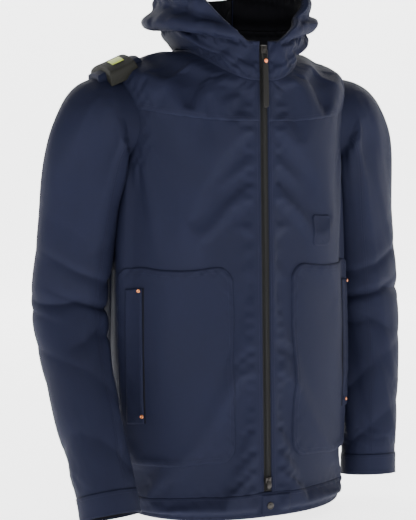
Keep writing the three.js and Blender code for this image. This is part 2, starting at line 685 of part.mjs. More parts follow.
// The loop is one closed band: under the strap, over it, and down both sides.
const loopIn = 0.7;
const loopOut = STRAP_FACE + STRAP.thick + 0.6 + LOOP.thick;
const loopBlock = solid(shoulderBand(LOOP, loopIn, loopOut));
const loopHole = { halfAngle: STRAP.halfAngle + 0.6, bottom: LOOP.bottom - 5, top: LOOP.top + 5 };
const hole = solid(shoulderBand(loopHole, loopIn + LOOP.thick, loopOut - LOOP.thick));
add("webbing_loop", geometryOf(largest(loopBlock.subtract(hole))), "webbing");
const badge = { halfAngle: 4.2, bottom: LOOP.bottom + 2.5, top: LOOP.top - 2.5 };
add("loop_badge", shoulderBand(badge, loopOut + 0.4, loopOut + 1.4), "badge");

// ---------- hanger loop inside the nape ----------

const hangerBack = onBody(180 - ANGLE_STEP, HANGER.height, -SHELL - GAP - LINING);
const HANGER_SEAT = 0.6; // the loop's ends lie this close to the lining
const hangerPoint = [0, hangerBack[1] - HANGER_SEAT - HANGER.thick / 2, hangerBack[2] - HANGER.drop + HANGER.ribbon];

function hangerShape() {
  const { halfWidth, drop, ribbon } = HANGER;
  const shape = new THREE.Shape();
  shape.moveTo(-halfWidth, 0);
  shape.quadraticCurveTo(-halfWidth * 0.7, -drop, 0, -drop);
  shape.quadraticCurveTo(halfWidth * 0.7, -drop, halfWidth, 0);
  shape.lineTo(halfWidth - ribbon, 0);
  shape.quadraticCurveTo(halfWidth * 0.5, -drop + ribbon, 0, -drop + ribbon);
  shape.quadraticCurveTo(-halfWidth * 0.5, -drop + ribbon, -halfWidth + ribbon, 0);
  return shape;
}

const hanger = extrudeForward(hangerShape(), HANGER.thick, 8);
hanger.translate(0, hangerBack[1] - HANGER_SEAT, hangerBack[2]);
add("hanger_loop", geometryOf(solid(hanger)), "webbing");

// ---------- frame ----------

jacket.position.set(0, -hangerPoint[1], -hangerPoint[2]);

export default jacket;
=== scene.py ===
# %% [markdown]
# # Foul weather jacket
# The imported model is loaded as a fixed frame. Every piece of cloth is then made again in fine mesh,
# with simulated folds. Most pieces ride on the body that their plain solid belongs to; the sleeves and
# the hood's crown stay where they are made.

# %%
import json
import math

import bmesh
import bpy
import numpy as np
from mathutils import Matrix, Vector
from mathutils.bvhtree import BVHTree


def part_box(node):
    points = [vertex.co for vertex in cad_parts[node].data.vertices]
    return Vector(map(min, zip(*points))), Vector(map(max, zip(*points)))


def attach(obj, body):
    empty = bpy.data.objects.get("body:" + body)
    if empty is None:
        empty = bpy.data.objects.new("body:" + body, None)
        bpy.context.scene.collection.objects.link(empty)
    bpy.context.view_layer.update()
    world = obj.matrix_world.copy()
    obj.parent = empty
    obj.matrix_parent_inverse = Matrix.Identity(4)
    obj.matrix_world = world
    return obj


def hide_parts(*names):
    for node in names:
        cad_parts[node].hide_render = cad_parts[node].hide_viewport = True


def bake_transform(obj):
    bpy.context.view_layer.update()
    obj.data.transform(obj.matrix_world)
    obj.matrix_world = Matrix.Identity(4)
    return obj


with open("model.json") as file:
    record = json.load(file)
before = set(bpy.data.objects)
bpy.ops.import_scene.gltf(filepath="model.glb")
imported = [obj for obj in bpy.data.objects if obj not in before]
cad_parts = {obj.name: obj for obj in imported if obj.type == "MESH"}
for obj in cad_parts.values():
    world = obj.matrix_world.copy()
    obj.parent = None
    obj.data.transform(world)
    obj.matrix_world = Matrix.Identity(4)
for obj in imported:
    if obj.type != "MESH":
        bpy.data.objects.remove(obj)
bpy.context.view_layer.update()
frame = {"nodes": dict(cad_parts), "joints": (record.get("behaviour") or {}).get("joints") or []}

# %% [markdown]
# ## Reference planes
# The pieces of a jacket meet at a few level lines: the hem, the yoke seam, the neck seam and the
# collar's top. The hem and the shoulder line are measured from the frame. The rest are heights
# above the hem, written once here, so that every panel ends on the same seam.

# %%
joints = frame["joints"]
if isinstance(joints, list):
    joints = {joint["name"]: joint for joint in joints}
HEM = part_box("hem_band_back")[0][2]
SHOULDER_LINE = joints["shoulder_left"]["pos_m"][1] - 0.002
RISE = 0.724
YOKE = 0.608
NECK = 0.668
BAND = 0.037
HOOD = 0.790
SIDES = ((-1, "right"), (1, "left"))
print("hem", round(HEM, 4), "shoulder line", round(SHOULDER_LINE, 4))

# %% [markdown]
# ## Camera and stage
# A catalogue picture is taken from a little to one side. The eye stands at the wearer's right
# front, level with the yoke, and looks slightly down. Large area lights are used because small ones
# give hard shadows in folds.

# %%
VIEW_AZIMUTH = math.radians(-25)
VIEW_DISTANCE = 2.4
view_right = Vector((math.cos(VIEW_AZIMUTH), math.sin(VIEW_AZIMUTH), 0))
view_ahead = Vector((-math.sin(VIEW_AZIMUTH), math.cos(VIEW_AZIMUTH), 0))
aim = Vector((0, SHOULDER_LINE, HEM + 0.384)) - view_right * 0.029
eye = aim - view_ahead * VIEW_DISTANCE
eye.z = HEM + YOKE

lens = bpy.data.cameras.new("camera")
camera = bpy.data.objects.new("camera", lens)
bpy.context.collection.objects.link(camera)
camera.location = eye
camera.rotation_euler = (aim - eye).to_track_quat("-Z", "Y").to_euler()
lens.sensor_width = 36
lens.lens = 104
bpy.context.scene.camera = camera
print("camera at", [round(v, 3) for v in eye])

# %%
def area_light(name, place, target, size, power):
    lamp = bpy.data.lights.new(name, "AREA")
    lamp.size = size
    lamp.energy = power
    light = bpy.data.objects.new(name, lamp)
    light.location = place
    light.rotation_euler = (Vector(target) - Vector(place)).to_track_quat("-Z", "Y").to_euler()
    bpy.context.collection.objects.link(light)


middle = Vector((0, SHOULDER_LINE, HEM + 0.4))
area_light("key", middle + Vector((-1.7, -2.2, 1.5)), middle, 1.6, 40)
area_light("fill", middle + Vector((2.4, -1.6, 0.6)), middle, 2.2, 15)
area_light("rim", middle + Vector((0.6, 2.2, 1.6)), middle, 1.6, 6)

world = bpy.data.worlds.new("studio")
bpy.context.scene.world = world
world.use_nodes = True
world.node_tree.nodes["Background"].inputs["Color"].default_value = (1.0, 1.0, 1.0, 1)
world.node_tree.nodes["Background"].inputs["Strength"].default_value = 0.4

# %% [markdown]
# ## Node maths
# Shader maths can be built node by node, but it soon gets hard to read. A small class that wraps a
# socket lets a height or a mask be written as an ordinary expression.

# %%
class Maths:
    def __init__(self, tree, socket):
        self.tree = tree
        self.socket = socket

    def node(self, operation, other=None):
        made = self.tree.nodes.new("ShaderNodeMath")
        made.operation = operation
        for slot, value in enumerate((self, other)):
            if value is None:
                continue
            if isinstance(value, Maths):
                self.tree.links.new(value.socket, made.inputs[slot])
            else:
                made.inputs[slot].default_value = value
        return Maths(self.tree, made.outputs[0])

    def __add__(self, other):
        return self.node("ADD", other)

    def __sub__(self, other):
        return self.node("SUBTRACT", other)

    def __mul__(self, other):
        return self.node("MULTIPLY", other)

    def sine(self):
        return self.node("SINE")

    def clamp(self):
        return self.node("MAXIMUM", 0.0).node("MINIMUM", 1.0)


# %% [markdown]
# ## Materials
# The shell is matt nylon, the lining a fine mesh, the zip moulded plastic and the small parts
# metal. One function makes them all: a base colour broken up by broad and fine noise, a weave or a
# grain in the bump, and roughness that follows the same noise, because no real cloth is one flat
# colour.

# %%
COLOUR_SPREAD = 0.12
BUMP_DISTANCE = 0.0004


def finish(name, colour, rough, metal=0.0, weave=0.0, weave_pitch=0.0009, grain=0.0, grain_scale=900.0,
           coat=0.0, twill=False, shine=0.5):
    """A base colour, roughness and shine, with a weave or a grain in the bump. Lengths are in metres."""
    material = bpy.data.materials.new(name)
    material.use_nodes = True
    tree = material.node_tree
    shader = tree.nodes["Principled BSDF"]
    place = tree.nodes.new("ShaderNodeTexCoord")

    def cloud(scale, detail):
        made = tree.nodes.new("ShaderNodeTexNoise")
        made.inputs["Scale"].default_value = scale
        made.inputs["Detail"].default_value = detail
        tree.links.new(place.outputs["Object"], made.inputs["Vector"])
        return Maths(tree, made.outputs["Fac"])

    broad = cloud(9.0, 3.0)
    fine = cloud(160.0, 2.0)
    mixed = (broad * 0.7 + fine * 0.3).clamp()
    ramp = tree.nodes.new("ShaderNodeValToRGB")
    low = [channel * (1 - COLOUR_SPREAD) for channel in colour]
    high = [min(channel * (1 + COLOUR_SPREAD), 1) for channel in colour]
    ramp.color_ramp.elements[0].position = 0.3
    ramp.color_ramp.elements[0].color = (*low, 1)
    ramp.color_ramp.elements[1].position = 0.7
    ramp.color_ramp.elements[1].color = (*high, 1)
    tree.links.new(mixed.socket, ramp.inputs["Fac"])
    tree.links.new(ramp.outputs["Color"], shader.inputs["Base Color"])
    shade = (mixed * 0.16 + (rough - 0.08)).clamp()
    tree.links.new(shade.socket, shader.inputs["Roughness"])
    shader.inputs["Metallic"].default_value = metal
    shader.inputs["Coat Weight"].default_value = coat
    shader.inputs["Specular IOR Level"].default_value = shine
    height = cloud(grain_scale, 4.0) * grain
    if weave:
        split = tree.nodes.new("ShaderNodeSeparateXYZ")
        tree.links.new(place.outputs["UV"], split.inputs["Vector"])
        across = Maths(tree, split.outputs["X"]) * (2 * math.pi / weave_pitch)
        along = Maths(tree, split.outputs["Y"]) * (2 * math.pi / weave_pitch)
        if twill:
            pattern = (across + along).sine() + across.sine() * 0.4
        else:
            pattern = across.sine() * along.sine() + (across * 0.5).sine() * 0.15
        height = height + pattern * weave
    bump = tree.nodes.new("ShaderNodeBump")
    bump.inputs["Strength"].default_value = 0.4
    bump.inputs["Distance"].default_value = BUMP_DISTANCE
    tree.links.new(height.socket, bump.inputs["Height"])
    tree.links.new(bump.outputs["Normal"], shader.inputs["Normal"])
    return material


navy = finish("navy_nylon", (0.0078, 0.0096, 0.0250), 0.72, weave=0.35, grain=0.35, shine=0.12)
thread = finish("navy_thread", (0.014, 0.016, 0.040), 0.6, grain=0.5, shine=0.2)
lining_black = finish("lining_mesh", (0.005, 0.005, 0.007), 0.85, weave=0.8, weave_pitch=0.0022, grain=0.2,
                      shine=0.1)
webbing_black = finish("webbing", (0.012, 0.012, 0.010), 0.75, weave=1.0, weave_pitch=0.002, twill=True,
                       shine=0.2)
tape_charcoal = finish("zip_tape_weave", (0.010, 0.010, 0.010), 0.75, weave=0.9, weave_pitch=0.0012,
                       twill=True, shine=0.2)
tooth_grey = finish("moulded_teeth", (0.007, 0.007, 0.007), 0.5, grain=0.2, shine=0.25)
pull_leather = finish("pull_leather", (0.006, 0.0055, 0.005), 0.62, grain=1.0, grain_scale=700.0,
                      shine=0.22)
gunmetal = finish("gunmetal", (0.045, 0.042, 0.040), 0.38, metal=1.0, grain=0.1)
copper = finish("copper", (0.72, 0.27, 0.11), 0.34, metal=1.0, grain=0.1)
orange = finish("orange_enamel", (0.75, 0.20, 0.06), 0.35, grain=0.05, coat=0.4)
badge_green = finish("badge_rubber", (0.42, 0.50, 0.08), 0.5, grain=0.3)
print("materials:", len(bpy.data.materials))

# %% [markdown]
# ## The body surface
# A worn jacket is a tube that is wide at the chest and narrow at the neck. It could be sculpted,
# but a formula keeps both sides alike: a rounded oval at each height, named by the angle from the
# zip, with widths and depths set at a few heights and joined by smooth curves.

# %%
HEIGHTS = np.array([0, 0.100, 0.250, 0.450, 0.560, 0.608, 0.636, 0.655, 0.668, 0.724, 0.790])
SIDE_HEIGHT = np.array([0, 0.100, 0.250, 0.450, 0.560, 0.630, 0.676, 0.700, 0.713, 0.748, 0.806])
BACK_HEIGHT = np.array([0, 0.100, 0.250, 0.450, 0.560, 0.612, 0.664, 0.698, 0.716, 0.752, 0.812])
HALF_WIDTH = np.array([0.178, 0.190, 0.195, 0.195, 0.188, 0.190, 0.186, 0.132, 0.090, 0.106, 0.114])
BACK_DEPTH = np.array([0.130, 0.138, 0.140, 0.140, 0.138, 0.130, 0.114, 0.096, 0.074, 0.084, 0.090])
ZIP_LEAN = 22 / 724
HEM_FRONT = 0.150
ROUNDNESS = 2.25


def smooth_curve(keys, values, x):
    """Hermite curve through values at rising keys, for a whole array at once."""
    x = np.clip(x, keys[0], keys[-1])
    slopes = np.gradient(values, keys)
    slopes[1:-1] = (values[2:] - values[:-2]) / (keys[2:] - keys[:-2])
    i = np.clip(np.searchsorted(keys, x, side="right") - 1, 0, len(keys) - 2)
    span = keys[i + 1] - keys[i]
    t = (x - keys[i]) / span
    a = (2 * t**3 - 3 * t**2 + 1) * values[i] + (t**3 - 2 * t**2 + t) * span * slopes[i]
    b = (-2 * t**3 + 3 * t**2) * values[i + 1] + (t**3 - t**2) * span * slopes[i + 1]
    return a + b


def zip_depth(height):
    return HEM_FRONT - ZIP_LEAN * height


def body(angle, height):
    """Points of the worn surface. angle is in degrees, height in metres, both arrays."""
    turn = np.radians(angle)
    power = 2 / ROUNDNESS
    side = np.sign(np.sin(turn)) * np.abs(np.sin(turn)) ** power
    ahead = np.sign(np.cos(turn)) * np.abs(np.cos(turn)) ** power
    back = smooth_curve(HEIGHTS, BACK_DEPTH, height)
    front = zip_depth(height)
    share = np.cos(turn) ** 2
    end = np.where(np.cos(turn) > 0, height, smooth_curve(HEIGHTS, BACK_HEIGHT, height))
    z = smooth_curve(HEIGHTS, SIDE_HEIGHT, height) * (1 - share) + end * share
    x = smooth_curve(HEIGHTS, HALF_WIDTH, height) * side
    y = (back - front) / 2 - (back + front) / 2 * ahead
    return np.stack([x, y + SHOULDER_LINE, z + HEM], axis=-1)


print("front at the yoke:", body(np.array(0.0), np.array(YOKE)).round(3))

# %% [markdown]
# ## Cloth simulation
# Folds come from cloth that is longer than the room it has. They could be carved by hand, but the
# cloth modifier finds believable ones: a grid is given extra length, its seams are pinned, and it
# buckles. Each point may move only a few millimetres, so that the pieces still meet.

# %%
def grid_mesh(name, points, closed=False):
    rows, columns = points.shape[:2]
    mesh = bpy.data.meshes.new(name)
    faces = []
    last = columns if closed else columns - 1
    for r in range(rows - 1):
        for c in range(last):
            n = (c + 1) % columns
            faces.append((r * columns + c, r * columns + n, (r + 1) * columns + n, (r + 1) * columns + c))
    mesh.from_pydata(points.reshape(-1, 3).tolist(), [], faces)
    mesh.update()
    return mesh


CLOTH_FRAMES = 22


def drape(name, points, pins, growth, cap, closed=False, gravity=0.4, stiffness=4.0):
    """points after simulation. pins is an array of pin weights, growth the extra cloth as a share."""
    mesh = grid_mesh(name, points, closed)
    cloth = bpy.data.objects.new(name, mesh)
    bpy.context.collection.objects.link(cloth)
    group = cloth.vertex_groups.new(name="pins")
    for index, weight in enumerate(pins.reshape(-1)):
        if weight > 0:
            group.add([index], float(weight), "REPLACE")
    modifier = cloth.modifiers.new("cloth", "CLOTH")
    settings = modifier.settings
    settings.vertex_group_mass = "pins"
    settings.quality = 7
    settings.mass = 0.25
    settings.tension_stiffness = 25
    settings.compression_stiffness = 25
    settings.shear_stiffness = 8
    settings.bending_stiffness = stiffness
    settings.air_damping = 2
    settings.shrink_min = -growth
    settings.shrink_max = -growth
    settings.effector_weights.gravity = gravity
    modifier.collision_settings.use_self_collision = False
    modifier.point_cache.frame_start = 1
    modifier.point_cache.frame_end = CLOTH_FRAMES
    scene = bpy.context.scene
    for frame_number in range(1, CLOTH_FRAMES + 1):
        scene.frame_set(frame_number)
    shaped = cloth.evaluated_get(bpy.context.evaluated_depsgraph_get()).data
    moved = np.empty(len(shaped.vertices) * 3)
    shaped.vertices.foreach_get("co", moved)
    moved = moved.reshape(points.shape)
    scene.frame_set(1)
    bpy.data.objects.remove(cloth)
    step = moved - points
    length = np.linalg.norm(step, axis=-1, keepdims=True)
    soft = cap * np.tanh(length / cap)
    return points + step / np.maximum(length, 1e-9) * soft


# %% [markdown]
# ## Smooth surfaces from simulated grids
# The simulated grid is coarse so that it runs fast. A Surface reads it with cubic curves and gives
# the point and the outward direction anywhere between its points, so finer pieces can be laid on it
# at any distance.

# %%
def cubic(values, place):
    """Catmull-Rom samples along the first axis of values."""
    count = values.shape[0]
    i = np.clip(np.floor(place).astype(int), 0, count - 2)
    t = (place - i).reshape(place.shape + (1,) * (values.ndim - 1))
    p = [values[np.clip(i + k, 0, count - 1)] for k in (-1, 0, 1, 2)]
    return 0.5 * (2 * p[1] + (p[2] - p[0]) * t + (2 * p[0] - 5 * p[1] + 4 * p[2] - p[3]) * t**2
                  + (3 * p[1] - p[0] - 3 * p[2] + p[3]) * t**3)


class Surface:
    def __init__(self, points, columns, rows, outward=1.0):
        self.points = points
        self.columns = columns
        self.rows = rows
        up = np.gradient(points, axis=0)
        across = np.gradient(points, axis=1)
        normal = np.cross(across, up) * outward
        self.normals = normal / np.maximum(np.linalg.norm(normal, axis=-1, keepdims=True), 1e-12)

    def place(self, column, row):
        c = np.interp(column, self.columns, np.arange(len(self.columns)))
        r = np.interp(row, self.rows, np.arange(len(self.rows)))
        return c, r

    def sample(self, values, column, row):
        """Separable cubic sampling: column and row are arrays of one shape."""
        c, r = self.place(column, row)
        flat_c, flat_r = c.reshape(-1), r.reshape(-1)
        count = values.shape[0]
        i = np.clip(np.floor(flat_r).astype(int), 0, count - 2)
        t = (flat_r - i)[:, None]
        width = values.shape[1]
        j = np.clip(np.floor(flat_c).astype(int), 0, width - 2)
        s = (flat_c - j)[:, None]

        def weights(u):
            return (0.5 * (-u + 2 * u**2 - u**3), 0.5 * (2 - 5 * u**2 + 3 * u**3),
                    0.5 * (u + 4 * u**2 - 3 * u**3), 0.5 * (-u**2 + u**3))

        wr, wc = weights(t), weights(s)
        total = 0
        for a in range(4):
            row_index = np.clip(i + a - 1, 0, count - 1)
            for b in range(4):
                column_index = np.clip(j + b - 1, 0, width - 1)
                total = total + values[row_index, column_index] * wr[a] * wc[b]
        return total.reshape(c.shape + (3,))

    def point(self, column, row, offset=0.0):
        base = self.sample(self.points, column, row)
        normal = self.sample(self.normals, column, row)
        normal = normal / np.maximum(np.linalg.norm(normal, axis=-1, keepdims=True), 1e-9)
        offset = np.asarray(offset)
        return base + normal * (offset[..., None] if offset.ndim else offset)


# %% [markdown]
# ## Making a panel
# A sewn panel ends in a folded edge, which is what makes a seam visible. A plane with Solidify
# would have square edges, so each panel is a fine grid whose rim rolls under and turns back by the
# cloth's thickness, and whose seams pucker a little.

# %%
def mesh_object(name, points, faces, uv, material):
    mesh = bpy.data.meshes.new(name)
    mesh.from_pydata(points.tolist(), [], faces.tolist())
    layer = mesh.uv_layers.new(name="cloth")
    corners = np.empty(len(mesh.loops), dtype=int)
    mesh.loops.foreach_get("vertex_index", corners)
    layer.data.foreach_set("uv", uv[corners].reshape(-1))
    mesh.polygons.foreach_set("use_smooth", [True] * len(mesh.polygons))
    mesh.materials.append(material)
    mesh.update()
    piece = bpy.data.objects.new(name, mesh)
    bpy.context.collection.objects.link(piece)
    return piece


def ripple(x, y, scale, seed=0.0):
    """Smooth noise from -1 to 1 over arrays of metres."""
    a = np.sin(x * scale + 1.7 * np.sin(y * scale * 0.61 + seed) + seed * 3.1)
    b = np.sin(y * scale * 1.13 + 1.3 * np.sin(x * scale * 0.83 + seed * 1.7) + seed)
    c = np.sin((x + y) * scale * 1.9 + seed * 5.3)
    return (a + b + 0.6 * c) / 2.6


def spaced(low, high, step):
    """Positions from low to high, closer together near both ends."""
    count = max(int(abs(high - low) / step), 4)
    t = np.linspace(0, 1, count + 1)
    t = t + 0.12 * np.sin(2 * np.pi * t) / np.pi * -1
    return low + (high - low) * np.clip(t, 0, 1)


def panel(name, surface, columns, rows, material, offset=0.0, thick=0.002, step=0.003, scale=0.0034,
          roll=0.004, pucker=0.0007, lift=None, soft=0.0):
    """columns and rows are (low, high), and each column limit may be a function of the row.
    scale is metres per column unit, lift adds height, and soft is the height of the slow ripples."""
    low_row, high_row = rows
    row = spaced(low_row, high_row, step)
    low = columns[0](row) if callable(columns[0]) else np.full_like(row, columns[0])
    high = columns[1](row) if callable(columns[1]) else np.full_like(row, columns[1])
    width = np.max(np.abs(high - low)) * scale
    share = spaced(0.0, 1.0, step / width)
    share = np.concatenate([[0.0], share, [1.0]])
    row = np.concatenate([[low_row], row, [high_row]])
    low = np.concatenate([[low[0]], low, [low[-1]]])
    high = np.concatenate([[high[0]], high, [high[-1]]])
    column_grid = low[:, None] + (high - low)[:, None] * share[None, :]
    row_grid = np.repeat(row[:, None], len(share), axis=1)
    across = column_grid * scale
    sides = [(column_grid - low[:, None]) * scale, (high[:, None] - column_grid) * scale,
             row_grid - low_row, high_row - row_grid]
    sides = [np.abs(side) for side in sides]
    nearest = np.minimum.reduce(sides)
    curl = np.clip(nearest / roll, 0, 1)
    height = offset * 0.35 + (offset * 0.65 + 0.0006) * np.sqrt(1 - (1 - curl) ** 2)
    for side in sides:
        near = np.exp(-side / 0.011) * np.clip(side / 0.003, 0, 1)
        height = height + pucker * near * ripple(across, row_grid, 260, len(name))
    height = height + soft * ripple(across, row_grid, 38, 2.0) * np.clip(nearest / 0.02, 0, 1)
    if lift is not None:
        height = height + lift(column_grid, row_grid)
    edge = np.zeros(height.shape, dtype=bool)
    edge[[0, -1], :] = True
    edge[:, [0, -1]] = True
    height[edge] = offset * 0.35 - thick
    points = surface.point(column_grid, row_grid, height).reshape(-1, 3)
    index = np.arange(row_grid.size).reshape(row_grid.shape)
    corners = [index[:-1, :-1], index[:-1, 1:], index[1:, 1:], index[1:, :-1]]
    faces = np.stack(corners, axis=-1).reshape(-1, 4)
    uv = np.stack([across, row_grid], axis=-1).reshape(-1, 2)
    return mesh_object(name, points, faces, uv, material)


# %% [markdown]
# ## Stitches
# Stitches could be a bump pattern, but they catch the light as real thread. Each row is one mesh of
# short rounded lengths, laid along a path on a surface.

# %%
STITCH = {"pitch": 0.0034, "radius": 0.00032, "gap": 0.12}


def stitches(name, path, normals):
    """path and normals are arrays of points along the seam, already on the surface."""
    pitch, radius = STITCH["pitch"], STITCH["radius"]
    gaps = np.linalg.norm(np.diff(path, axis=0), axis=1)
    along = np.concatenate([[0], np.cumsum(gaps)])
    count = max(int(along[-1] / pitch), 1)
    ends = np.linspace(0, along[-1], count + 1)

    def at(distance, values):
        return np.stack([np.interp(distance, along, values[:, k]) for k in range(3)], axis=-1)

    start, stop = ends[:-1] + pitch * STITCH["gap"], ends[1:] - pitch * STITCH["gap"]
    fractions = (0.0, 0.25, 0.75, 1.0)
    bulge = (0.15, 0.9, 0.9, 0.15)
    direction = at(stop, path) - at(start, path)
    direction /= np.maximum(np.linalg.norm(direction, axis=1, keepdims=True), 1e-9)
    up = at((start + stop) / 2, normals)
    up /= np.maximum(np.linalg.norm(up, axis=1, keepdims=True), 1e-9)
    side = np.cross(direction, up)
    rings = []
    for fraction, fat in zip(fractions, bulge):
        centre = at(start + (stop - start) * fraction, path)
        for k in range(4):
            turn = math.pi / 4 + k * math.pi / 2
            rings.append(centre + (side * math.cos(turn) + up * math.sin(turn)) * radius * fat
                         + up * radius * (fat - 0.2))
    points = np.stack(rings, axis=1)
    faces = []
    for ring in range(3):
        for k in range(4):
            n = (k + 1) % 4
            faces.append((ring * 4 + k, ring * 4 + n, ring * 4 + 4 + n, ring * 4 + 4 + k))
    faces += [(3, 2, 1, 0), (12, 13, 14, 15)]
    faces = (np.array(faces)[None] + (np.arange(count) * 16)[:, None, None]).reshape(-1, 4)
    flat = points.reshape(-1, 3)
    return mesh_object(name, flat, faces, flat[:, [0, 2]], thread)


def seam_on(surface, columns, rows, offset):
    """The points and normals of a line on a surface, for stitches."""
    columns, rows = np.broadcast_arrays(np.asarray(columns, float), np.asarray(rows, float))
    points = surface.point(columns, rows, offset)
    beyond = surface.point(columns, rows, offset + 0.001)
    return points, beyond - points


# %% [markdown]
# ## The draped body
# The zip, the hem, the neck seam and the armholes hold the cloth, so they are pinned. Elsewhere
# there are a few hundredths more cloth than room, and the folds run between the pinned seams.

# %%
BODY_ANGLES = np.linspace(-180, 180, 121)
BODY_ROWS = np.concatenate([np.linspace(0, YOKE, 72)[:-1], np.linspace(YOKE, HOOD, 30)])
angle_grid, row_grid = np.meshgrid(BODY_ANGLES, BODY_ROWS)
worn = body(angle_grid, row_grid)


ARMHOLE = {"ahead": 0.002, "height": 0.603, "radius": 0.063, "depth": 0.93}


def armhole_distance(points):
    """Distance from each armhole's axis, which runs level through the shoulder."""
    y = points[..., 1] - SHOULDER_LINE - ARMHOLE["ahead"]
    z = points[..., 2] - HEM - ARMHOLE["height"]
    outside = np.abs(points[..., 0]) < 0.12
    return np.hypot(y, z) + outside * 1.0


held = np.zeros(worn.shape[:2])
held[np.abs(angle_grid) < 5] = 1.0
held[row_grid < 0.010] = 1.0
held[np.abs(row_grid - NECK) < 0.008] = 1.0
held[np.abs(row_grid - RISE) < 0.005] = 0.6
held[row_grid > HOOD - 0.008] = 0.5
held = np.maximum(held, np.clip((0.100 - armhole_distance(worn)) / 0.030, 0, 1))
held[:, [0, -1]] = 1.0
draped = drape("body_drape", worn, held, growth=0.040, cap=0.009, stiffness=4.0)
body_surface = Surface(draped, BODY_ANGLES, BODY_ROWS)
half = len(BODY_ANGLES) // 2
behind = np.concatenate([draped[:, half:-1], draped[:, :half + 1]], axis=1)
back_surface = Surface(behind, np.linspace(0, 360, len(BODY_ANGLES)), BODY_ROWS)
print("cloth moved up to", round(float(np.abs(draped - worn).max()) * 1000, 1), "mm")

# %% [markdown]
# ## Shell panels
# The shell is cut where a tailor would cut it: at the zip, the side seams, the yoke and the hem
# band. The panels are laid on the one draped surface, so neighbours meet exactly. The armholes are
# cut out where the sleeves go.

# %%
SIDE_SEAM = 92
SCALE = 0.0034


def beside_zip(distance):
    """The angle that keeps a line this far from the middle of the zip."""
    def angle(row):
        row = np.asarray(row, float)
        width = smooth_curve(HEIGHTS, HALF_WIDTH, row)
        return np.degrees(np.arcsin(np.minimum(distance / width, 1.0) ** (ROUNDNESS / 2)))
    return angle


def mirrored(function):
    return lambda row: -function(row)


def sided(side, near, far):
    """Column limits on one side of the zip, low one first, from numbers or functions of the row."""
    if side > 0:
        return near, far
    return tuple(mirrored(edge) if callable(edge) else -edge for edge in (far, near))


def in_armhole(points, margin):
    y = points[:, 1] - SHOULDER_LINE - ARMHOLE["ahead"]
    z = points[:, 2] - HEM - ARMHOLE["height"]
    near = np.hypot(y / ARMHOLE["depth"], z) < ARMHOLE["radius"] - margin
    return near & (np.abs(points[:, 0]) > 0.13)


def cut_armholes(piece, margin=0.006):
    """Take away the cloth that the sleeve heads cover."""
    mesh = piece.data
    points = np.empty(len(mesh.vertices) * 3)
    mesh.vertices.foreach_get("co", points)
    inside = in_armhole(points.reshape(-1, 3), margin)
    shape = bmesh.new()
    shape.from_mesh(mesh)
    shape.verts.ensure_lookup_table()
    gone = [shape.verts[i] for i in np.nonzero(inside)[0]]
    bmesh.ops.delete(shape, geom=gone, context="VERTS")
    shape.to_mesh(mesh)
    shape.free()
    return piece


def give(piece, body_name, slot_name, *nodes):
    if body_name:
        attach(piece, body_name)
    if nodes:
        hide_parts(*nodes)
    return piece


def on_root(piece, *nodes):
    return give(piece, "root", "shell", *nodes)


panel_edge = beside_zip(0.0068)
for side, name in SIDES:
    columns = sided(side, panel_edge, SIDE_SEAM)
    front = panel(f"cloth_front_{name}", body_surface, columns, (BAND, YOKE), navy, offset=0.0006,
                  soft=0.0006)
    on_root(cut_armholes(front), f"front_panel_{name}")
    upper = panel(f"cloth_yoke_{name}", body_surface, columns, (YOKE - 0.003, NECK), navy, offset=0.0016,
                  soft=0.0005, step=0.0022)
    on_root(cut_armholes(upper), f"front_yoke_{name}")

BACK = (SIDE_SEAM, 360 - SIDE_SEAM)
back = panel("cloth_back", back_surface, BACK, (BAND, YOKE), navy, offset=0.0006, soft=0.0006)
on_root(cut_armholes(back), "back_panel")
top = panel("cloth_back_yoke", back_surface, BACK, (YOKE - 0.003, NECK), navy, offset=0.0016, soft=0.0005,
            step=0.0022)
on_root(cut_armholes(top), "back_yoke")

# %% [markdown]
# ## Sleeves
# A sleeve is a bent tube. Rings run from the armhole to the cuff, and the tube is draped like the
# body. A cloth tube with nothing inside swells, so the swelling is taken out again. The folds that
# an arm makes, long at the shoulder and close at the elbow, are added as heights. Each sleeve is
# split into an upper piece and a lower piece, which stay where they are made; only the cuff rides on
# the forearm.

# %%
REACH = {"right": 0.135, "left": 0.048}
RING_STATIONS = [
    (0.144, 0.002, 0.609, 0, 0.066, 0),
    (0.184, 0.002, 0.606, 4, 0.069, 0),
    (0.213, 0.003, 0.597, 32, 0.074, 0),
    (0.232, 0.005, 0.560, 56, 0.069, 0),
    (0.242, 0.008, 0.505, 74, 0.064, 0),
    (0.249, 0.011, 0.440, 80, 0.061, 0),
    (0.256, 0.013, 0.385, 82, 0.059, 0),
    (0.262, 0.014, 0.336, 84, 0.057, 4),
    (0.264, 0.014, 0.290, 88, 0.056, 12),
    (0.263, 0.014, 0.230, 91, 0.054, 17),
    (0.259, 0.014, 0.165, 92, 0.051, 20),
    (0.254, 0.014, 0.095, 92, 0.047, 22),
    (0.250, 0.014, 0.052, 92, 0.045, 22),
    (0.248, 0.014, 0.020, 92, 0.045, 22),
]
FORWARD = (0, 0, 0, 0, 0, 0, 0, 0, 0.1, 0.3, 0.53, 0.78, 0.92, 1.0)
WRIST, END = 12.0, 13.0 # station numbers


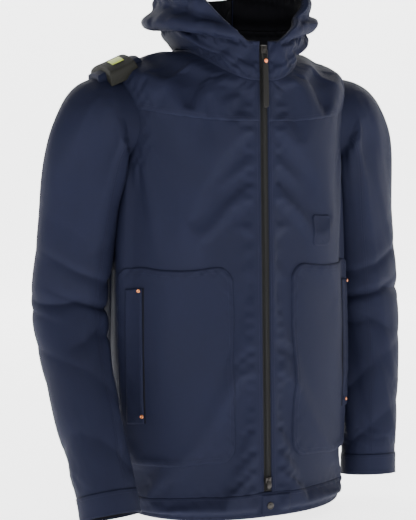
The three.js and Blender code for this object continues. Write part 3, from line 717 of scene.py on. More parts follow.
def sleeve_grid(side, reach, stations, turns):
    """Points of the smooth sleeve at fractional ring numbers and turns round the sleeve."""
    table = np.array([(x, y - reach * f, z, tilt, radius, swing * reach / 0.140)
                      for (x, y, z, tilt, radius, swing), f in zip(RING_STATIONS, FORWARD)])
    ring = cubic(table, stations)
    down, swing = np.radians(ring[:, 3]), np.radians(-ring[:, 5])
    zero = np.zeros_like(down)

    def tilted(vector):
        x, y, z = vector
        turned_y = y * np.cos(swing) - z * np.sin(swing)
        turned_z = y * np.sin(swing) + z * np.cos(swing)
        return np.stack([x, turned_y, turned_z], -1)

    up = tilted((np.sin(down), zero, np.cos(down)))
    depth = tilted((zero, zero + 1, zero))
    centre = ring[:, :3]
    radius = ring[:, 4][:, None, None]
    angle = np.radians(turns)[None, :, None]
    points = centre[:, None, :] + up[:, None, :] * radius * np.cos(angle)
    points = points + depth[:, None, :] * radius * ARMHOLE["depth"] * np.sin(angle)
    points[..., 0] *= side
    points[..., 1] += SHOULDER_LINE
    points[..., 2] += HEM
    return points


def without_swelling(step, start, stations):
    """Keeps the wrinkles of a draped sleeve, but not its general swelling or drift."""
    radial = start - start.mean(axis=1, keepdims=True)
    radial = radial / np.linalg.norm(radial, axis=-1, keepdims=True)
    step = step - step.mean(axis=1, keepdims=True)
    swelling = (step * radial).sum(axis=-1, keepdims=True).mean(axis=1, keepdims=True)
    ease = np.clip((stations - 1.2) / 1.0, 0, 1) * np.clip((WRIST - 0.1 - stations) / 0.8, 0, 1)
    return (step - radial * swelling) * ease[..., None]


def crease(wave):
    """Soft rounded ridges with narrow valleys between them, from -1 to 1."""
    return 1 - 2 * (1 - np.abs(np.sin(wave / 2))) ** 1.6


def sleeve_folds(turns, stations):
    """Outward height of the folds: long at the shoulder, close at the elbow, slack below."""
    turn = np.radians(turns)
    near_shoulder = np.exp(-((stations - 3.0) / 1.2) ** 2)
    near_elbow = np.exp(-((stations - 7.2) / 1.5) ** 2)
    near_wrist = np.exp(-((stations - 10.4) / 1.1) ** 2)
    inner_front = 0.35 + 0.65 * (0.5 + 0.5 * np.cos(turn - math.radians(235)))
    long_folds = np.sin(turn * 6 + stations * 0.9) * 0.6 + np.sin(turn * 3 - stations * 1.4 + 1.1)
    rising = 0.5 + 0.5 * np.sin(turn * 2 + stations * 1.7)
    close_folds = rising * crease(stations * 6.4 + 2.8 * np.sin(turn + 0.7))
    close_folds = close_folds + (1 - rising) * crease(stations * 4.6 - 3.4 * np.sin(turn * 1.0 + 2.2) + 1.0)
    slack_folds = crease(stations * 4.4 - 3.0 * np.sin(turn - 0.9) + 1.5)
    slack_folds = slack_folds * (0.4 + 0.6 * np.sin(turn + 1.0) ** 2)
    return (0.0026 * near_shoulder * long_folds + 0.0044 * near_elbow * inner_front * close_folds
            + 0.0024 * near_wrist * slack_folds)


TURNS = np.linspace(0, 360, 61)[:-1]
STATIONS = np.concatenate([np.linspace(0.6, 4, 34)[:-1], np.linspace(4, WRIST, 96)[:-1],
                           np.linspace(WRIST, END, 10)])
sleeve_surfaces = {}
for side, name in SIDES:
    start = sleeve_grid(side, REACH[name], STATIONS, TURNS)
    station_grid = np.repeat(STATIONS[:, None], len(TURNS), axis=1)
    pins = np.zeros(station_grid.shape)
    pins[station_grid < 1.5] = 1.0
    pins[np.abs(station_grid - 4.0) < 0.04] = 0.15
    pins[station_grid > WRIST] = 0.9
    gathered = drape(f"sleeve_drape_{name}", start, pins, growth=0.100, cap=0.014, closed=True, gravity=0.9,
                     stiffness=2.0)
    gathered = start + without_swelling(gathered - start, start, station_grid)
    wrapped = np.concatenate([gathered[:, -2:], gathered, gathered[:, :3]], axis=1)
    turns = np.concatenate([TURNS[-2:] - 360, TURNS, TURNS[:3] + 360])
    sleeve_surfaces[name] = Surface(wrapped, turns, STATIONS, outward=-side)
    print(name, "sleeve moved up to", round(float(np.abs(gathered - start).max()) * 1000, 1), "mm")

# %%
STATION_LENGTH = 0.045 # metres of sleeve between two stations, on average
TURN_BACK = 0.0022


def tube(name, surface, rows, material, offset=0.0006, rows_step=0.05, turns=108, turned=(True, True),
         pucker=0.0007, facing=1):
    """A round piece of sleeve between two stations, with its ends turned back where they are free."""
    low, high = rows
    row = np.linspace(low, high, max(int((high - low) / rows_step), 3) + 1)
    around = np.linspace(0, 360, turns + 1)[:-1]
    column_grid, row_grid = np.meshgrid(around, row)
    metres = row_grid * STATION_LENGTH
    distance = np.minimum(row_grid - low, high - row_grid) * STATION_LENGTH
    height = offset + 0.0004 * ripple(column_grid * 0.0009, metres, 45, 1.0)
    height = height + sleeve_folds(column_grid, row_grid)
    height = height + pucker * np.exp(-distance / 0.008) * ripple(column_grid * 0.001, metres, 230, 3.0)
    if turned[0]:
        row_grid = np.vstack([row_grid[:1], row_grid])
        column_grid = np.vstack([column_grid[:1], column_grid])
        height = np.vstack([np.full((1, turns), offset - TURN_BACK), height])
    if turned[1]:
        row_grid = np.vstack([row_grid, row_grid[-1:]])
        column_grid = np.vstack([column_grid, column_grid[-1:]])
        height = np.vstack([height, np.full((1, turns), offset - TURN_BACK)])
    points = surface.point(column_grid, row_grid, height).reshape(-1, 3)
    index = np.arange(row_grid.size).reshape(row_grid.shape)
    following = np.roll(index, -1, axis=1)
    faces = np.stack([index[:-1], index[1:], following[1:], following[:-1]], axis=-1).reshape(-1, 4)
    if facing < 0:
        faces = faces[:, ::-1]
    uv = np.stack([column_grid * 0.001, row_grid * STATION_LENGTH], axis=-1).reshape(-1, 2)
    return mesh_object(name, points, faces, uv, material)


SPLIT = 4.6 # between the shoulder's cloth and the elbow's


def bend_shoulder(piece):
    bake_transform(piece)


def bend_elbow(piece):
    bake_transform(piece)


for side, name in SIDES:
    surface = sleeve_surfaces[name]
    head = tube(f"cloth_sleeve_head_{name}", surface, (0.7, SPLIT), navy, turned=(False, False), pucker=0.0,
                facing=side)
    bend_shoulder(give(head, None, "shell", f"sleeve_upper_{name}"))
    arm = tube(f"cloth_sleeve_arm_{name}", surface, (SPLIT, WRIST), navy, turned=(False, True), pucker=0.0,
               facing=side)
    bend_elbow(give(arm, None, "shell", f"sleeve_forearm_{name}"))
    cuff = tube(f"cloth_cuff_{name}", surface, (WRIST - 0.03, END), navy, offset=0.0018, rows_step=0.06,
                facing=side)
    give(cuff, f"forearm_{name}", "shell", f"cuff_{name}")

# %% [markdown]
# ## Hem
# The hem band is doubled cloth with two rows of stitches. The left band's tab laps the bottom of
# the zip and closes with a snap, so it is a piece of its own that can peel open.

# %%
tab_hinge = beside_zip(0.036)
tab_free = beside_zip(0.012)
underlap = beside_zip(0.0170)
hem_rows = (0.0005, BAND + 0.002)
hem = {"offset": 0.0016, "thick": 0.004, "step": 0.0022, "pucker": 0.0009}
right_hem = panel("cloth_hem_right", body_surface, (-SIDE_SEAM, underlap), hem_rows, navy, **hem)
on_root(right_hem, "hem_band_right")
left_hem = panel("cloth_hem_left", body_surface, (beside_zip(0.0120), SIDE_SEAM), hem_rows, navy, **hem)
on_root(left_hem, "hem_band_left")
back_hem = panel("cloth_hem_back", back_surface, BACK, hem_rows, navy, **hem)
on_root(back_hem, "hem_band_back")


def stitch_row(name, surface, columns, rows, offset, body_name="root"):
    points, normals = seam_on(surface, columns, rows, offset)
    made = stitches(name, points, normals)
    return give(made, body_name, "shell")


round_body = np.linspace(-180, 180, 420)
stitch_row("stitch_hem_top", body_surface, round_body, BAND - 0.0035, 0.0026)
stitch_row("stitch_hem_low", body_surface, round_body, 0.0050, 0.0026)

# %%
hem_tab = panel("cloth_hem_tab", body_surface, (mirrored(tab_free), tab_hinge), (0.0015, BAND - 0.001),
                navy, offset=0.0040, thick=0.001, step=0.0016, roll=0.003, pucker=0.0004)
give(hem_tab, "hem_tab", "shell", "hem_tab")
tab_columns = np.linspace(-float(tab_free(0.018)) + 0.9, float(tab_hinge(0.018)) - 2.2, 60)
for name, row in (("low", 0.0045), ("high", BAND - 0.0045)):
    stitch_row(f"stitch_tab_{name}", body_surface, tab_columns, row, 0.0049, "hem_tab")
print("hem made")

# %% [markdown]
# ## Patch pockets
# A patch pocket is a second layer sewn on along its outline. Each has round corners, two rows of
# stitches and a slight swell from its bag. The hand goes in at the side, through a slit with a
# folded welt and a rivet at each end. A strip of black lining cloth under the welt's edge is painted
# shade.

# %%
POCKET = {"inner": 13.0, "outer": 80.0, "bottom": 0.088, "top": 0.389, "corner": 0.027}
MOUTH = {"edge": 61.5, "far": 74.0, "bottom": 0.150, "top": 0.358}


def corner_cut(row, bottom, top, corner):
    """How far in the side of a round-cornered patch lies, in metres."""
    depth = np.clip(corner - np.minimum(row - bottom, top - row), 0, corner)
    return corner - np.sqrt(np.maximum(corner**2 - depth**2, 0))


def round_patch(side, inner, outer, bottom, top, corner):
    def near(row):
        return inner + corner_cut(row, bottom, top, corner) / SCALE

    def far(row):
        return outer - corner_cut(row, bottom, top, corner) / SCALE

    return sided(side, near, far)


def outline(side, inner, outer, bottom, top, corner, inset):
    """Angles and heights round a patch, a distance inside its edge."""
    left, right = inner + inset / SCALE, outer - inset / SCALE
    low, high = bottom + inset, top - inset
    bend = max(corner - inset, 0.004)
    columns, rows = [], []
    for turn, (cx, cy) in enumerate(((right, low), (right, high), (left, high), (left, low))):
        sign_x = -1 if turn in (0, 1) else 1
        sign_y = 1 if turn in (0, 3) else -1
        start = (turn - 1) * 90
        for step in np.linspace(0, 90, 14):
            angle = math.radians(start + step)
            columns.append(cx + (sign_x * bend + math.cos(angle) * bend) / SCALE)
            rows.append(cy + sign_y * bend + math.sin(angle) * bend)
    columns.append(columns[0])
    rows.append(rows[0])
    spread = np.linspace(0, len(columns) - 1, 900)
    count = np.arange(len(columns))
    return side * np.interp(spread, count, columns), np.interp(spread, count, rows)


def bag_fill(column, row):
    across = np.clip((np.abs(column) - POCKET["inner"]) / (POCKET["outer"] - POCKET["inner"]), 0, 1)
    up = np.clip((row - POCKET["bottom"]) / (POCKET["top"] - POCKET["bottom"]), 0, 1)
    swell = np.sin(np.pi * across) ** 0.6 * np.sin(np.pi * up) ** 0.6
    return 0.0022 * swell * (1.2 - 0.5 * up)


for side, name in SIDES:
    columns = round_patch(side, **POCKET)
    rows = (POCKET["bottom"], POCKET["top"])
    pocket = panel(f"cloth_pocket_{name}", body_surface, columns, rows, navy, offset=0.0030, step=0.0022,
                   roll=0.005, pucker=0.0010, lift=bag_fill, soft=0.0006)
    on_root(pocket, f"pocket_{name}")
    for line, inset in (("outer", 0.0035), ("inner", 0.0095)):
        around, heights = outline(side, **POCKET, inset=inset)
        stitch_row(f"stitch_pocket_{line}_{name}", body_surface, around, heights,
                   0.0037 + bag_fill(around, heights))
    rows = (MOUTH["bottom"], MOUTH["top"])
    columns = sided(side, MOUTH["edge"], MOUTH["far"])
    welt = panel(f"cloth_welt_{name}", body_surface, columns, rows, navy, offset=0.0062, step=0.0018,
                 roll=0.004, pucker=0.0005, lift=bag_fill)
    on_root(welt, f"pocket_welt_{name}")
    # The black strip under the welt's edge is painted shade: the dark line that the welt's edge casts on
    # the patch.
    columns = sided(side, MOUTH["edge"] - 0.7, MOUTH["edge"] + 0.2)
    mouth_shade = panel(f"pocket_mouth_{name}", body_surface, columns, rows, lining_black, offset=0.0042,
                 step=0.002, roll=0.001, pucker=0.0, lift=bag_fill)
    give(mouth_shade, "root", "lining")
    for line, column in (("near", MOUTH["edge"] + 1.6), ("far", MOUTH["far"] - 0.9)):
        heights = np.linspace(rows[0] + 0.003, rows[1] - 0.003, 300)
        around = np.full(300, side * column)
        stitch_row(f"stitch_welt_{line}_{name}", body_surface, around, heights,
                   0.0069 + bag_fill(around, heights))
print("pockets made")

# %% [markdown]
# ## Seam stitches and the chest patch
# Two rows of stitches run down each side of the zip, one along the yoke and one down each side
# seam. The small patch on the chest is plain.

# %%
for side, name in SIDES:
    heights = np.linspace(BAND + 0.004, NECK - 0.004, 700)
    for line, distance in (("near", 0.0085), ("far", 0.0125)):
        angle = side * beside_zip(distance)(heights)
        stitch_row(f"stitch_zip_{line}_{name}", body_surface, angle, heights,
                   0.0014 + 0.001 * (heights > YOKE))
    span = np.linspace(3.4, 66, 300) * side
    stitch_row(f"stitch_yoke_{name}", body_surface, span, YOKE + 0.0035, 0.0024)

stitch_row("stitch_yoke_back", back_surface, np.linspace(112, 248, 500), YOKE + 0.0035, 0.0024)
heights = np.linspace(BAND + 0.004, 0.535, 500)
for side, name in SIDES:
    stitch_row(f"stitch_side_{name}", body_surface, np.full(500, side * (SIDE_SEAM + 1.6)), heights, 0.0014)

patch_shape = {"inner": 25.0, "outer": 37.0, "bottom": 0.418, "top": 0.466, "corner": 0.008}
patch_rows = (patch_shape["bottom"], patch_shape["top"])
chest = panel("cloth_chest_patch", body_surface, round_patch(1, **patch_shape), patch_rows, navy,
              offset=0.0022, step=0.0014, roll=0.002, pucker=0.0003)
on_root(chest, "chest_patch")
around, heights = outline(1, **patch_shape, inset=0.003)
stitch_row("stitch_chest_patch", body_surface, around, heights, 0.0030)
print("chest patch made")

# %% [markdown]
# ## Collar and hood
# The collar stands up from the neck seam, and the hood is sewn behind it. Worn down, the hood's
# sides slump into a roll over the collar with a crease under it. The rolls are heights added to the
# draped surface, and the front edges climb back from the top of the zip.

# %%
HOOD_FOOT = 0.715


def hood_front(row):
    climb = np.clip((np.asarray(row, float) - HOOD_FOOT) / (HOOD - HOOD_FOOT), 0, 1)
    return 3.0 + 46.0 * climb**0.85


def fold_of_hood(column, row):
    """A roll of cloth over the collar, a crease under it and a second smaller roll above."""
    strength = np.clip((np.abs(column) - 10) / 25, 0, 1)
    low = np.exp(-((row - 0.741 - 0.004 * np.sin(np.radians(column * 2.2))) / 0.011) ** 2)
    high = np.exp(-((row - 0.775) / 0.013) ** 2)
    crease = np.exp(-((row - 0.7225) / 0.005) ** 2)
    slant = np.exp(-((row - 0.757 - 0.0004 * (np.abs(column) - 60)) / 0.006) ** 2)
    behind = np.clip((np.abs(column) - 45) / 50, 0, 1)
    return strength * (0.011 * low + 0.006 * high - 0.003 * crease - 0.004 * slant) + behind * 0.013 * low


def half_fold(column, row):
    return fold_of_hood(column, row) * 0.5


def neck_folds(column, row):
    drag = np.exp(-(((row - 0.694) - 0.0009 * (np.abs(column) - 45)) / 0.006) ** 2)
    second = np.exp(-(((row - 0.708) - 0.0005 * (np.abs(column) - 60)) / 0.005) ** 2)
    where = np.exp(-((np.abs(column) - 55) / 34) ** 2)
    return where * (0.005 * drag + 0.0035 * second)


for side, name in SIDES:
    columns = sided(side, panel_edge, 180)
    collar = panel(f"cloth_collar_{name}", body_surface, columns, (NECK - 0.002, RISE + 0.0015), navy,
                   offset=0.0022, step=0.0018, lift=neck_folds, soft=0.0008)
    on_root(collar, f"collar_{name}")
    inside = panel(f"cloth_collar_lining_{name}", body_surface, columns, (NECK - 0.004, RISE + 0.0025),
                   lining_black, offset=-0.0030, step=0.003, pucker=0.0004)
    give(inside, "root", "lining", f"collar_lining_{name}")

    columns = sided(side, hood_front, 157)
    rows = (HOOD_FOOT + 0.0010, HOOD - 0.0015)
    standing = panel(f"cloth_hood_side_{name}", body_surface, columns, rows, navy, offset=0.0030,
                     step=0.0018, lift=fold_of_hood, soft=0.0012, roll=0.006)
    on_root(standing, f"hood_side_{name}")
    rows = (HOOD_FOOT + 0.0015, HOOD - 0.0010)
    inner = panel(f"cloth_hood_lining_{name}", body_surface, columns, rows, lining_black, offset=-0.0022,
                  step=0.0026, soft=0.0012, pucker=0.0003, lift=half_fold)
    give(inner, "root", "lining", f"hood_lining_{name}")
    heights = np.linspace(0.7195, 0.7860, 220)
    angle = side * (hood_front(heights) + 1.6)
    stitch_row(f"stitch_hood_{name}", body_surface, angle, heights, 0.0040 + fold_of_hood(angle, heights))
    around = side * (4 + np.linspace(0.0, 1.0, 400) * 150)
    neck_line = NECK + 0.0015
    stitch_row(f"stitch_neck_{name}", body_surface, around, neck_line,
               0.0030 + neck_folds(around, neck_line))
print("collar and hood sides made")

# %% [markdown]
# ## Linings
# The inside shows at the neck, the cuffs and the hem. The lining follows the same draped cloth a
# few millimetres behind it, on a coarser grid because it is seldom seen closely.

# %%
def lining(name, surface, columns, rows, *nodes, offset=-0.0038):
    made = panel(name, surface, columns, rows, lining_black, offset=offset, step=0.006, pucker=0.0003)
    return give(made, "root", "lining", *nodes)


tape_edge = beside_zip(0.017)
lining_rows = (BAND - 0.004, NECK)
linings = []
for side, name in SIDES:
    columns = sided(side, tape_edge, SIDE_SEAM)
    made = lining(f"lining_front_{name}", body_surface, columns, lining_rows, f"body_lining_{name}")
    linings.append(made)
linings.append(lining("lining_back", back_surface, BACK, lining_rows, "body_lining_back"))
for made in linings:
    cut_armholes(made, 0.004)
flap_edge = beside_zip(0.024)
lining("cloth_storm_flap", body_surface, (mirrored(flap_edge), flap_edge), (BAND + 0.001, RISE - 0.008),
       "storm_flap", offset=-0.0066)

inside_sleeve = {"offset": -0.0034, "rows_step": 0.12, "turns": 60, "turned": (False, False), "pucker": 0.0}
for side, name in SIDES:
    surface = sleeve_surfaces[name]
    head = tube(f"lining_sleeve_head_{name}", surface, (0.9, SPLIT), lining_black, facing=side,
                **inside_sleeve)
    bend_shoulder(give(head, None, "lining", f"sleeve_lining_upper_{name}"))
    arm = tube(f"lining_sleeve_arm_{name}", surface, (SPLIT, END - 0.15), lining_black, facing=side,
               **inside_sleeve)
    bend_elbow(give(arm, None, "lining", f"sleeve_lining_forearm_{name}"))
print("linings made")

# %% [markdown]
# ## Zip
# A zip is two woven tapes with a row of moulded teeth on each, set half a pitch apart. A tooth is
# repeated hundreds of times, so each is two small blocks of few faces, set out along the draped
# line.

# %%
ZIP_LOW = BAND + 0.003
for side, name in SIDES:
    columns = sided(side, beside_zip(0.0007), beside_zip(0.0155))
    tape = panel(f"cloth_tape_{name}", body_surface, columns, (ZIP_LOW, RISE - 0.004), tape_charcoal,
                 offset=-0.0012, thick=0.0005, step=0.004, roll=0.0005, pucker=0.0002)
    give(tape, "root", "tape", f"zip_tape_{name}")


def block(shape, centre, axes, size, round_off=0.3):
    """A box with its front corners drawn in, added to a bmesh."""
    turned = Matrix([[axes[k][row] * size[k] for k in range(3)] for row in range(3)]).to_4x4()
    turned.translation = centre
    made = bmesh.ops.create_cube(shape, size=1.0, matrix=turned)["verts"]
    front = [vert for vert in made if (vert.co - Vector(centre)).dot(axes[2]) > 0]
    ahead = Vector(centre) + axes[2] * size[2] / 2
    shrink = Matrix.Diagonal((1 - round_off,) * 3)
    bmesh.ops.scale(shape, vec=shrink.to_scale(), space=Matrix.Translation(-ahead), verts=front)


def finish_shape(shape, name, material, body_name, slot_name, *nodes, bevel=0.0):
    bmesh.ops.recalc_face_normals(shape, faces=shape.faces)
    if bevel:
        bmesh.ops.bevel(shape, geom=shape.edges[:], offset=bevel, segments=2, profile=0.6, affect="EDGES",
                        clamp_overlap=True)
    mesh = bpy.data.meshes.new(name)
    shape.to_mesh(mesh)
    shape.free()
    mesh.polygons.foreach_set("use_smooth", [True] * len(mesh.polygons))
    mesh.materials.append(material)
    piece = bpy.data.objects.new(name, mesh)
    bpy.context.collection.objects.link(piece)
    return give(piece, body_name, slot_name, *nodes)


PITCH = 0.0027
TOOTH_HEAD = (0.0046, 0.0017, 0.0024)
TOOTH_FOOT = (0.0012, 0.0024, 0.0022)
tooth_rows = np.arange(ZIP_LOW + 0.002, RISE - 0.006, PITCH / 2)
tooth_points = body_surface.point(np.zeros_like(tooth_rows), tooth_rows, 0.0)
for side, name in SIDES:
    shape = bmesh.new()
    start = 0 if side < 0 else 1
    for i in range(start, len(tooth_rows) - 1, 2):
        here = Vector(tooth_points[i])
        along = (Vector(tooth_points[i + 1]) - Vector(tooth_points[i - 1 if i else 0])).normalized()
        forward = Vector((0, -1, 0))
        across = Vector((1, 0, 0)) * side
        axes = (across, along, forward)
        block(shape, here + across * 0.0010 + forward * 0.0002, axes, TOOTH_HEAD)
        block(shape, here + across * 0.0031 - forward * 0.0002, axes, TOOTH_FOOT)
    finish_shape(shape, f"teeth_{name}", tooth_grey, "root", "teeth", f"zip_teeth_{name}")
print("teeth:", len(tooth_rows))

# %% [markdown]
# ## Sliders and pulls
# A slider is a domed shell over the chain with a bridge on top. The upper one carries a wire link
# and a flat leather pull with an enamel dot, and the lower one a small metal pull. Round parts,
# such as the rivets and the snap, are a profile spun about an axis, as they would be turned on a
# lathe.

# %%
def between(node):
    low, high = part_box(node)
    return Vector([(low[k] + high[k]) / 2 for k in range(3)]), Vector([high[k] - low[k] for k in range(3)])


lean = math.atan(ZIP_LEAN)
ZIP_ALONG = Vector((0, math.sin(lean), math.cos(lean)))
ZIP_AHEAD = Vector((0, -math.cos(lean), math.sin(lean)))
ACROSS = Vector((1, 0, 0))


def slider(name, node, body_name):
    centre, size = between(node)
    shape = bmesh.new()
    block(shape, centre, (ACROSS, ZIP_ALONG, ZIP_AHEAD), (size[0], size[2], 0.0026), 0.22)
    bridge = centre + ZIP_AHEAD * 0.0016
    block(shape, bridge, (ACROSS, ZIP_ALONG, ZIP_AHEAD), (0.0030, size[2] * 0.72, 0.0022), 0.35)
    finish_shape(shape, name, gunmetal, body_name, "zip_metal", node, bevel=0.0005)


slider("slider_top_metal", "top_slider", "top_slider")
slider("slider_low_metal", "bottom_slider", "bottom_slider")


def rod_loop(name, path, radius, material, body_name, slot_name, *nodes, sides=8):
    """A closed wire through a list of points."""
    shape = bmesh.new()
    rings = []
    for i, point in enumerate(path):
        along = (path[(i + 1) % len(path)] - path[i - 1]).normalized()
        side = along.cross(ZIP_AHEAD).normalized()
        ring = []
        for k in range(sides):
            turn = 2 * math.pi * k / sides
            place = point + side * math.cos(turn) * radius
            ring.append(shape.verts.new(place + ZIP_AHEAD * math.sin(turn) * radius))
        rings.append(ring)
    for i, ring in enumerate(rings):
        following = rings[(i + 1) % len(rings)]
        for k in range(sides):
            n = (k + 1) % sides
            shape.faces.new((ring[k], ring[n], following[n], following[k]))
    return finish_shape(shape, name, material, body_name, slot_name, *nodes)


def rounded_path(centre, width, height, corner, bend=8):
    points = []
    for k, (sx, sz) in enumerate(((1, 1), (-1, 1), (-1, -1), (1, -1))):
        for step in range(bend):
            turn = math.radians(k * 90 + 90 * step / (bend - 1))
            x = sx * (width / 2 - corner) + math.cos(turn) * corner
            z = sz * (height / 2 - corner) + math.sin(turn) * corner
            points.append(centre + ACROSS * x + ZIP_ALONG * z)
    return points


link_centre = between("pull_link")[0]
link_path = rounded_path(link_centre, width=0.0082, height=0.0140, corner=0.0018)
rod_loop("link_wire", link_path, 0.00075, gunmetal, "pull_link", "zip_metal", "pull_link")

# %%
def strap_tab(name, node, body_name, material, slot_name, width, thick, length):
    """A flat pull with a rounded lower end, domed a little, with a stitched edge groove."""
    centre, size = between(node)
    rows, columns = 44, 14
    shape = bmesh.new()
    grids = []
    for face in (1, -1):
        grid = []
        for r in range(rows + 1):
            along = r / rows
            z = (along - 0.5) * length
            end = min(along, 1 - along) * length
            corner = width / 2
            narrow = math.sqrt(max(1 - max(1 - end / corner, 0) ** 2, 0.0)) if end < corner else 1.0
            taper = narrow * (0.86 + 0.14 * (1 - along))
            row = []
            for c in range(columns + 1):
                across = (c / columns - 0.5) * 2
                rim = max(abs(across), 1 - end / 0.004 if end < 0.004 else 0)
                dome = math.sqrt(max(1 - rim**4, 0.0))
                groove = 0.12 * math.exp(-((abs(across) - 0.72) / 0.07) ** 2) if end > 0.004 else 0
                height = thick / 2 * (dome * 0.8 + 0.2 - groove)
                wave = 0.0006 * math.sin(along * 4.2)
                place = centre + ACROSS * across * width / 2 * taper + ZIP_ALONG * z
                row.append(shape.verts.new(place + ZIP_AHEAD * (height * face + wave)))
            grid.append(row)
        grids.append(grid)
    for grid, face in zip(grids, (1, -1)):
        for r in range(rows):
            for c in range(columns):
                quad = (grid[r][c], grid[r][c + 1], grid[r + 1][c + 1], grid[r + 1][c])
                shape.faces.new(quad if face > 0 else quad[::-1])
    front, back = grids
    for r in range(rows):
        shape.faces.new((front[r][0], front[r + 1][0], back[r + 1][0], back[r][0]))
        shape.faces.new((front[r + 1][-1], front[r][-1], back[r][-1], back[r + 1][-1]))
    for c in range(columns):
        shape.faces.new((front[0][c + 1], front[0][c], back[0][c], back[0][c + 1]))
        shape.faces.new((front[-1][c], front[-1][c + 1], back[-1][c + 1], back[-1][c]))
    bmesh.ops.remove_doubles(shape, verts=shape.verts, dist=0.00002)
    return finish_shape(shape, name, material, body_name, slot_name, node)


strap_tab("pull_leather_strap", "pull_tab", "pull_tab", pull_leather, "pull", 0.0098, 0.0024, 0.0775)
strap_tab("pull_low", "bottom_pull", "bottom_pull", gunmetal, "zip_metal", 0.0078, 0.0018, 0.0125)


def turned_disc(name, node, material, body_name, slot_name, ahead, radius, profile):
    """A button-like piece turned about the direction ahead. profile is (radius share, height) pairs."""
    centre, size = between(node)
    ahead = ahead.normalized()
    side = ahead.orthogonal().normalized()
    shape = bmesh.new()
    line = [shape.verts.new(centre + side * radius * share + ahead * height) for share, height in profile]
    edges = [shape.edges.new(pair) for pair in zip(line[:-1], line[1:])]
    bmesh.ops.spin(shape, geom=line + edges, cent=centre, axis=ahead, angle=2 * math.pi, steps=40,
                   use_merge=True)
    bmesh.ops.remove_doubles(shape, verts=shape.verts, dist=0.000001)
    bmesh.ops.holes_fill(shape, edges=shape.edges, sides=0)
    return finish_shape(shape, name, material, body_name, slot_name, node)


FRONT = Vector((0, -1, 0))
snap_profile = ((0.9, -0.0009), (1.0, -0.0006), (1.0, 0.0002), (0.93, 0.0007), (0.80, 0.0008),
                (0.74, 0.0005), (0.66, 0.0004), (0.60, 0.0007), (0.40, 0.0010), (0.18, 0.0011))
turned_disc("snap_cap_turned", "snap_cap", gunmetal, "hem_tab", "zip_metal", FRONT, 0.0056, snap_profile)
dot_profile = ((0.95, -0.0006), (1.0, -0.0003), (1.0, 0.0003), (0.9, 0.0007), (0.5, 0.0009), (0.2, 0.00095))
turned_disc("pull_dot_turned", "pull_tab_dot", orange, "pull_tab", "accent", ZIP_AHEAD, 0.0029, dot_profile)
rivet_profile = ((1.0, -0.0008), (1.0, -0.0001), (0.94, 0.0004), (0.70, 0.0007), (0.42, 0.0005),
                 (0.36, -0.0001), (0.2, -0.0002))
for side, name in SIDES:
    for end, row in (("upper", MOUTH["top"] - 0.008), ("lower", MOUTH["bottom"] + 0.008)):
        place = np.array(side * (MOUTH["edge"] + 1.5)), np.array(row)
        outward = Vector(body_surface.point(*place, 0.01) - body_surface.point(*place, 0.0))
        turned_disc(f"rivet_{end}_{name}", f"pocket_rivet_{end}_{name}", copper, "root", "rivet_metal",
                    outward, 0.0030, rivet_profile)
print("metal made")

# %% [markdown]
# ## Hood crown
# The rest of the hood hangs behind the neck as a soft bag. It is draped between the edges of the
# hood's sides, and stays where it is made.

# %%
CROWN_HEIGHTS = np.array([0.656, 0.670, 0.695, 0.735, 0.785])
CROWN_DEPTHS = np.array([0.046, 0.052, 0.062, 0.068, 0.070])
CROWN_EDGE = 156
CROWN_TURNS = np.linspace(-90, 90, 73)
CROWN_SPAN = (CROWN_HEIGHTS[0], CROWN_HEIGHTS[-1])
CROWN_ROWS = np.linspace(*CROWN_SPAN, 44)


def crown_grid(turns, heights):
    turn, height = np.meshgrid(np.radians(turns), heights)
    edge = body(np.full(height.shape, float(CROWN_EDGE)), height)
    middle_edge = body(np.full(height.shape, 180.0), height)
    depth = smooth_curve(CROWN_HEIGHTS, CROWN_DEPTHS, height)
    x = edge[..., 0] * np.sin(turn)
    y = edge[..., 1] + depth * np.cos(turn) ** 0.9
    z = edge[..., 2] + (middle_edge[..., 2] - edge[..., 2]) * np.cos(turn)
    return np.stack([x, y, z], axis=-1)


crown_start = crown_grid(CROWN_TURNS, CROWN_ROWS)
crown_pins = np.zeros(crown_start.shape[:2])
crown_pins[:, :2] = 1.0
crown_pins[:, -2:] = 1.0
crown_pins[-3:] = 0.4
crown_pins[:2] = 0.6
crown_points = drape("crown_drape", crown_start, crown_pins, growth=0.09, cap=0.010, stiffness=3.0,
                     gravity=0.9)
crown_surface = Surface(crown_points, CROWN_TURNS, CROWN_ROWS, outward=-1.0)


def crown_folds(column, row):
    where = np.cos(np.radians(column)) ** 0.5
    first = np.exp(-((row - 0.700 - 0.010 * where) / 0.007) ** 2)
    second = np.exp(-((row - 0.735 - 0.012 * where) / 0.009) ** 2)
    return where * (0.004 * second - 0.003 * first)


crown = panel("cloth_hood_crown", crown_surface, (-90, 90), CROWN_SPAN, navy, offset=0.0012,
              step=0.0025, scale=0.0013, lift=crown_folds, soft=0.0012, roll=0.006)
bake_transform(crown)
give(crown, None, "shell", "hood_crown")
crown_inside = panel("cloth_hood_crown_lining", crown_surface, (-89, 89), (0.657, 0.784), lining_black,
                     offset=-0.0026, step=0.004, scale=0.0013, lift=crown_folds, pucker=0.0003)
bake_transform(crown_inside)
give(crown_inside, None, "lining", "hood_crown_lining")
print("crown made")

# %% [markdown]
# ## Shoulder strap
# The strap lies along the shoulder seam, with a wide webbing loop round it and a plain badge on the
# loop. Stiff pieces bridge the hollows of the cloth below, so the cloth's height is found by
# looking straight down, and a smooth arched sheet is fitted to it.

# %%
def cloth_below(names):
    shape = bmesh.new()
    for name in names:
        shape.from_mesh(bpy.data.objects[name].data)
    tree = BVHTree.FromBMesh(shape)
    shape.free()
    return tree


under = cloth_below(["cloth_sleeve_head_right", "cloth_yoke_right", "cloth_back_yoke"])


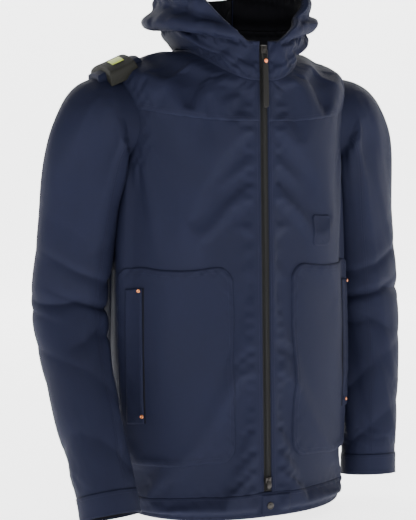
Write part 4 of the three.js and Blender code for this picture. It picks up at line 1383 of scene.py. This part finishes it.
def laid_surface(x_range, y_range, count=44, proud=0.45):
    """A smooth sheet over the shoulder: rows run along x, and columns from front to back."""
    xs = np.linspace(*x_range, count)
    ys = np.linspace(*y_range, count)
    heights = np.zeros((count, count))
    for i, x in enumerate(xs):
        for j, y in enumerate(ys):
            hit = under.ray_cast(Vector((x, y, 0.3)), Vector((0, 0, -1)))[0]
            heights[i, j] = hit.z if hit else HEM + 0.64
    grid_x, grid_y = np.meshgrid(xs, ys, indexing="ij")
    terms = np.stack([grid_x**0, grid_x, grid_x**2, grid_y, grid_y**2], axis=-1)
    fit = np.linalg.lstsq(terms.reshape(-1, 5), heights.reshape(-1), rcond=None)[0]
    smooth = terms @ fit
    heights = smooth + (heights - smooth).max() * proud
    points = np.stack([grid_x, grid_y, heights], axis=-1)
    return Surface(points, ys, xs, outward=-1.0)


STRAP_Y = SHOULDER_LINE - 0.004
sheet = laid_surface((-0.232, -0.118), (STRAP_Y - 0.050, STRAP_Y + 0.050))
front, back = STRAP_Y - 0.022, STRAP_Y + 0.022
strap_piece = panel("cloth_shoulder_strap", sheet, (front, back), (-0.226, -0.156), navy, offset=0.0065,
                    thick=0.007, step=0.0018, scale=1.0, roll=0.003, pucker=0.0004)
on_root(strap_piece, "shoulder_strap")
along = np.linspace(-0.223, -0.160, 200)
for line, y in (("front", STRAP_Y - 0.0185), ("back", STRAP_Y + 0.0185)):
    stitch_row(f"stitch_strap_{line}", sheet, np.full(200, y), along, 0.0073)
loop_piece = panel("webbing_loop_woven", sheet, (STRAP_Y - 0.040, STRAP_Y + 0.036), (-0.213, -0.168),
                   webbing_black, offset=0.0150, thick=0.012, step=0.0014, scale=1.0, roll=0.004,
                   pucker=0.0002)
give(loop_piece, "root", "webbing", "webbing_loop")
loop_top = Surface(sheet.points + sheet.normals * 0.0155, sheet.columns, sheet.rows, outward=-1.0)
badge = panel("badge_plain", loop_top, (STRAP_Y - 0.023, STRAP_Y - 0.005), (-0.200, -0.181), badge_green,
              offset=0.0010, thick=0.0008, step=0.0008, scale=1.0, roll=0.0006, pucker=0.0)
give(badge, "root", "badge", "loop_badge")
print("strap made")

# %% [markdown]
# ## Sleeve seams
# Each sleeve has a stitched seam down its front and two rows of stitches round its cuff. The cuff
# stitches ride on the forearm with the cuff; the front seams stay in place with the sleeve cloth.

# %%
for side, name in SIDES:
    surface = sleeve_surfaces[name]
    around = np.linspace(0, 360, 240)
    for line, station in (("low", END - 0.10), ("high", WRIST + 0.12)):
        stitch_row(f"stitch_cuff_{line}_{name}", surface, around, station, 0.0026, f"forearm_{name}")
    for line, turn in (("a", 246.0), ("b", 249.0)):
        down = np.linspace(1.4, SPLIT, 240)
        made = stitch_row(f"stitch_sleeve_upper_{line}_{name}", surface, turn, down,
                          0.0012 + sleeve_folds(turn, down), None)
        bend_shoulder(made)
        down = np.linspace(SPLIT, WRIST - 0.1, 420)
        made = stitch_row(f"stitch_sleeve_arm_{line}_{name}", surface, turn, down,
                          0.0012 + sleeve_folds(turn, down), None)
        bend_elbow(made)
print("seams made")

# %% [markdown]
# ## Pieces kept from the plain model
# The hanger loop and the stud of the snap are small and simple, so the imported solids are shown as
# they are, with a finish.

# %%
for node, material in (("hanger_loop", webbing_black), ("snap_stud", gunmetal)):
    piece = frame["nodes"][node]
    piece.data.materials.clear()
    piece.data.materials.append(material)
print("finishes given")

# %% [markdown]
# ## Floor and backdrop
# A photographer hangs one sheet of paper that runs along the floor and curves up behind. The same
# shape is made here, so that no corner shows behind the jacket. It glows faintly to stay pale.

# %%
def sweep(name, material):
    low, high = HEM - 0.02, 4.0
    near, far, bend = -6.0, 4.0, 1.5
    line = [(near, low), (far - bend, low)]
    for step in range(1, 17):
        turn = math.radians(90 * step / 16)
        line.append((far - bend + math.sin(turn) * bend, low + (1 - math.cos(turn)) * bend))
    line.append((far, high))
    ahead, across = view_ahead, view_right
    points = [ahead * y + across * x + Vector((0, 0, z)) for y, z in line for x in (-7, 7)]
    faces = [(2 * i, 2 * i + 1, 2 * i + 3, 2 * i + 2) for i in range(len(line) - 1)]
    mesh = bpy.data.meshes.new(name)
    mesh.from_pydata(points, [], faces)
    mesh.polygons.foreach_set("use_smooth", [True] * len(mesh.polygons))
    mesh.materials.append(material)
    backdrop = bpy.data.objects.new(name, mesh)
    bpy.context.collection.objects.link(backdrop)
    return backdrop


paper = bpy.data.materials.new("backdrop_paper")
paper.use_nodes = True
paper_shader = paper.node_tree.nodes["Principled BSDF"]
paper_shader.inputs["Base Color"].default_value = (0.96, 0.96, 0.96, 1)
paper_shader.inputs["Roughness"].default_value = 0.9
paper_shader.inputs["Emission Color"].default_value = (1, 1, 1, 1)
paper_shader.inputs["Emission Strength"].default_value = 3.0
sweep("backdrop", paper)

# %%
print("scene built")
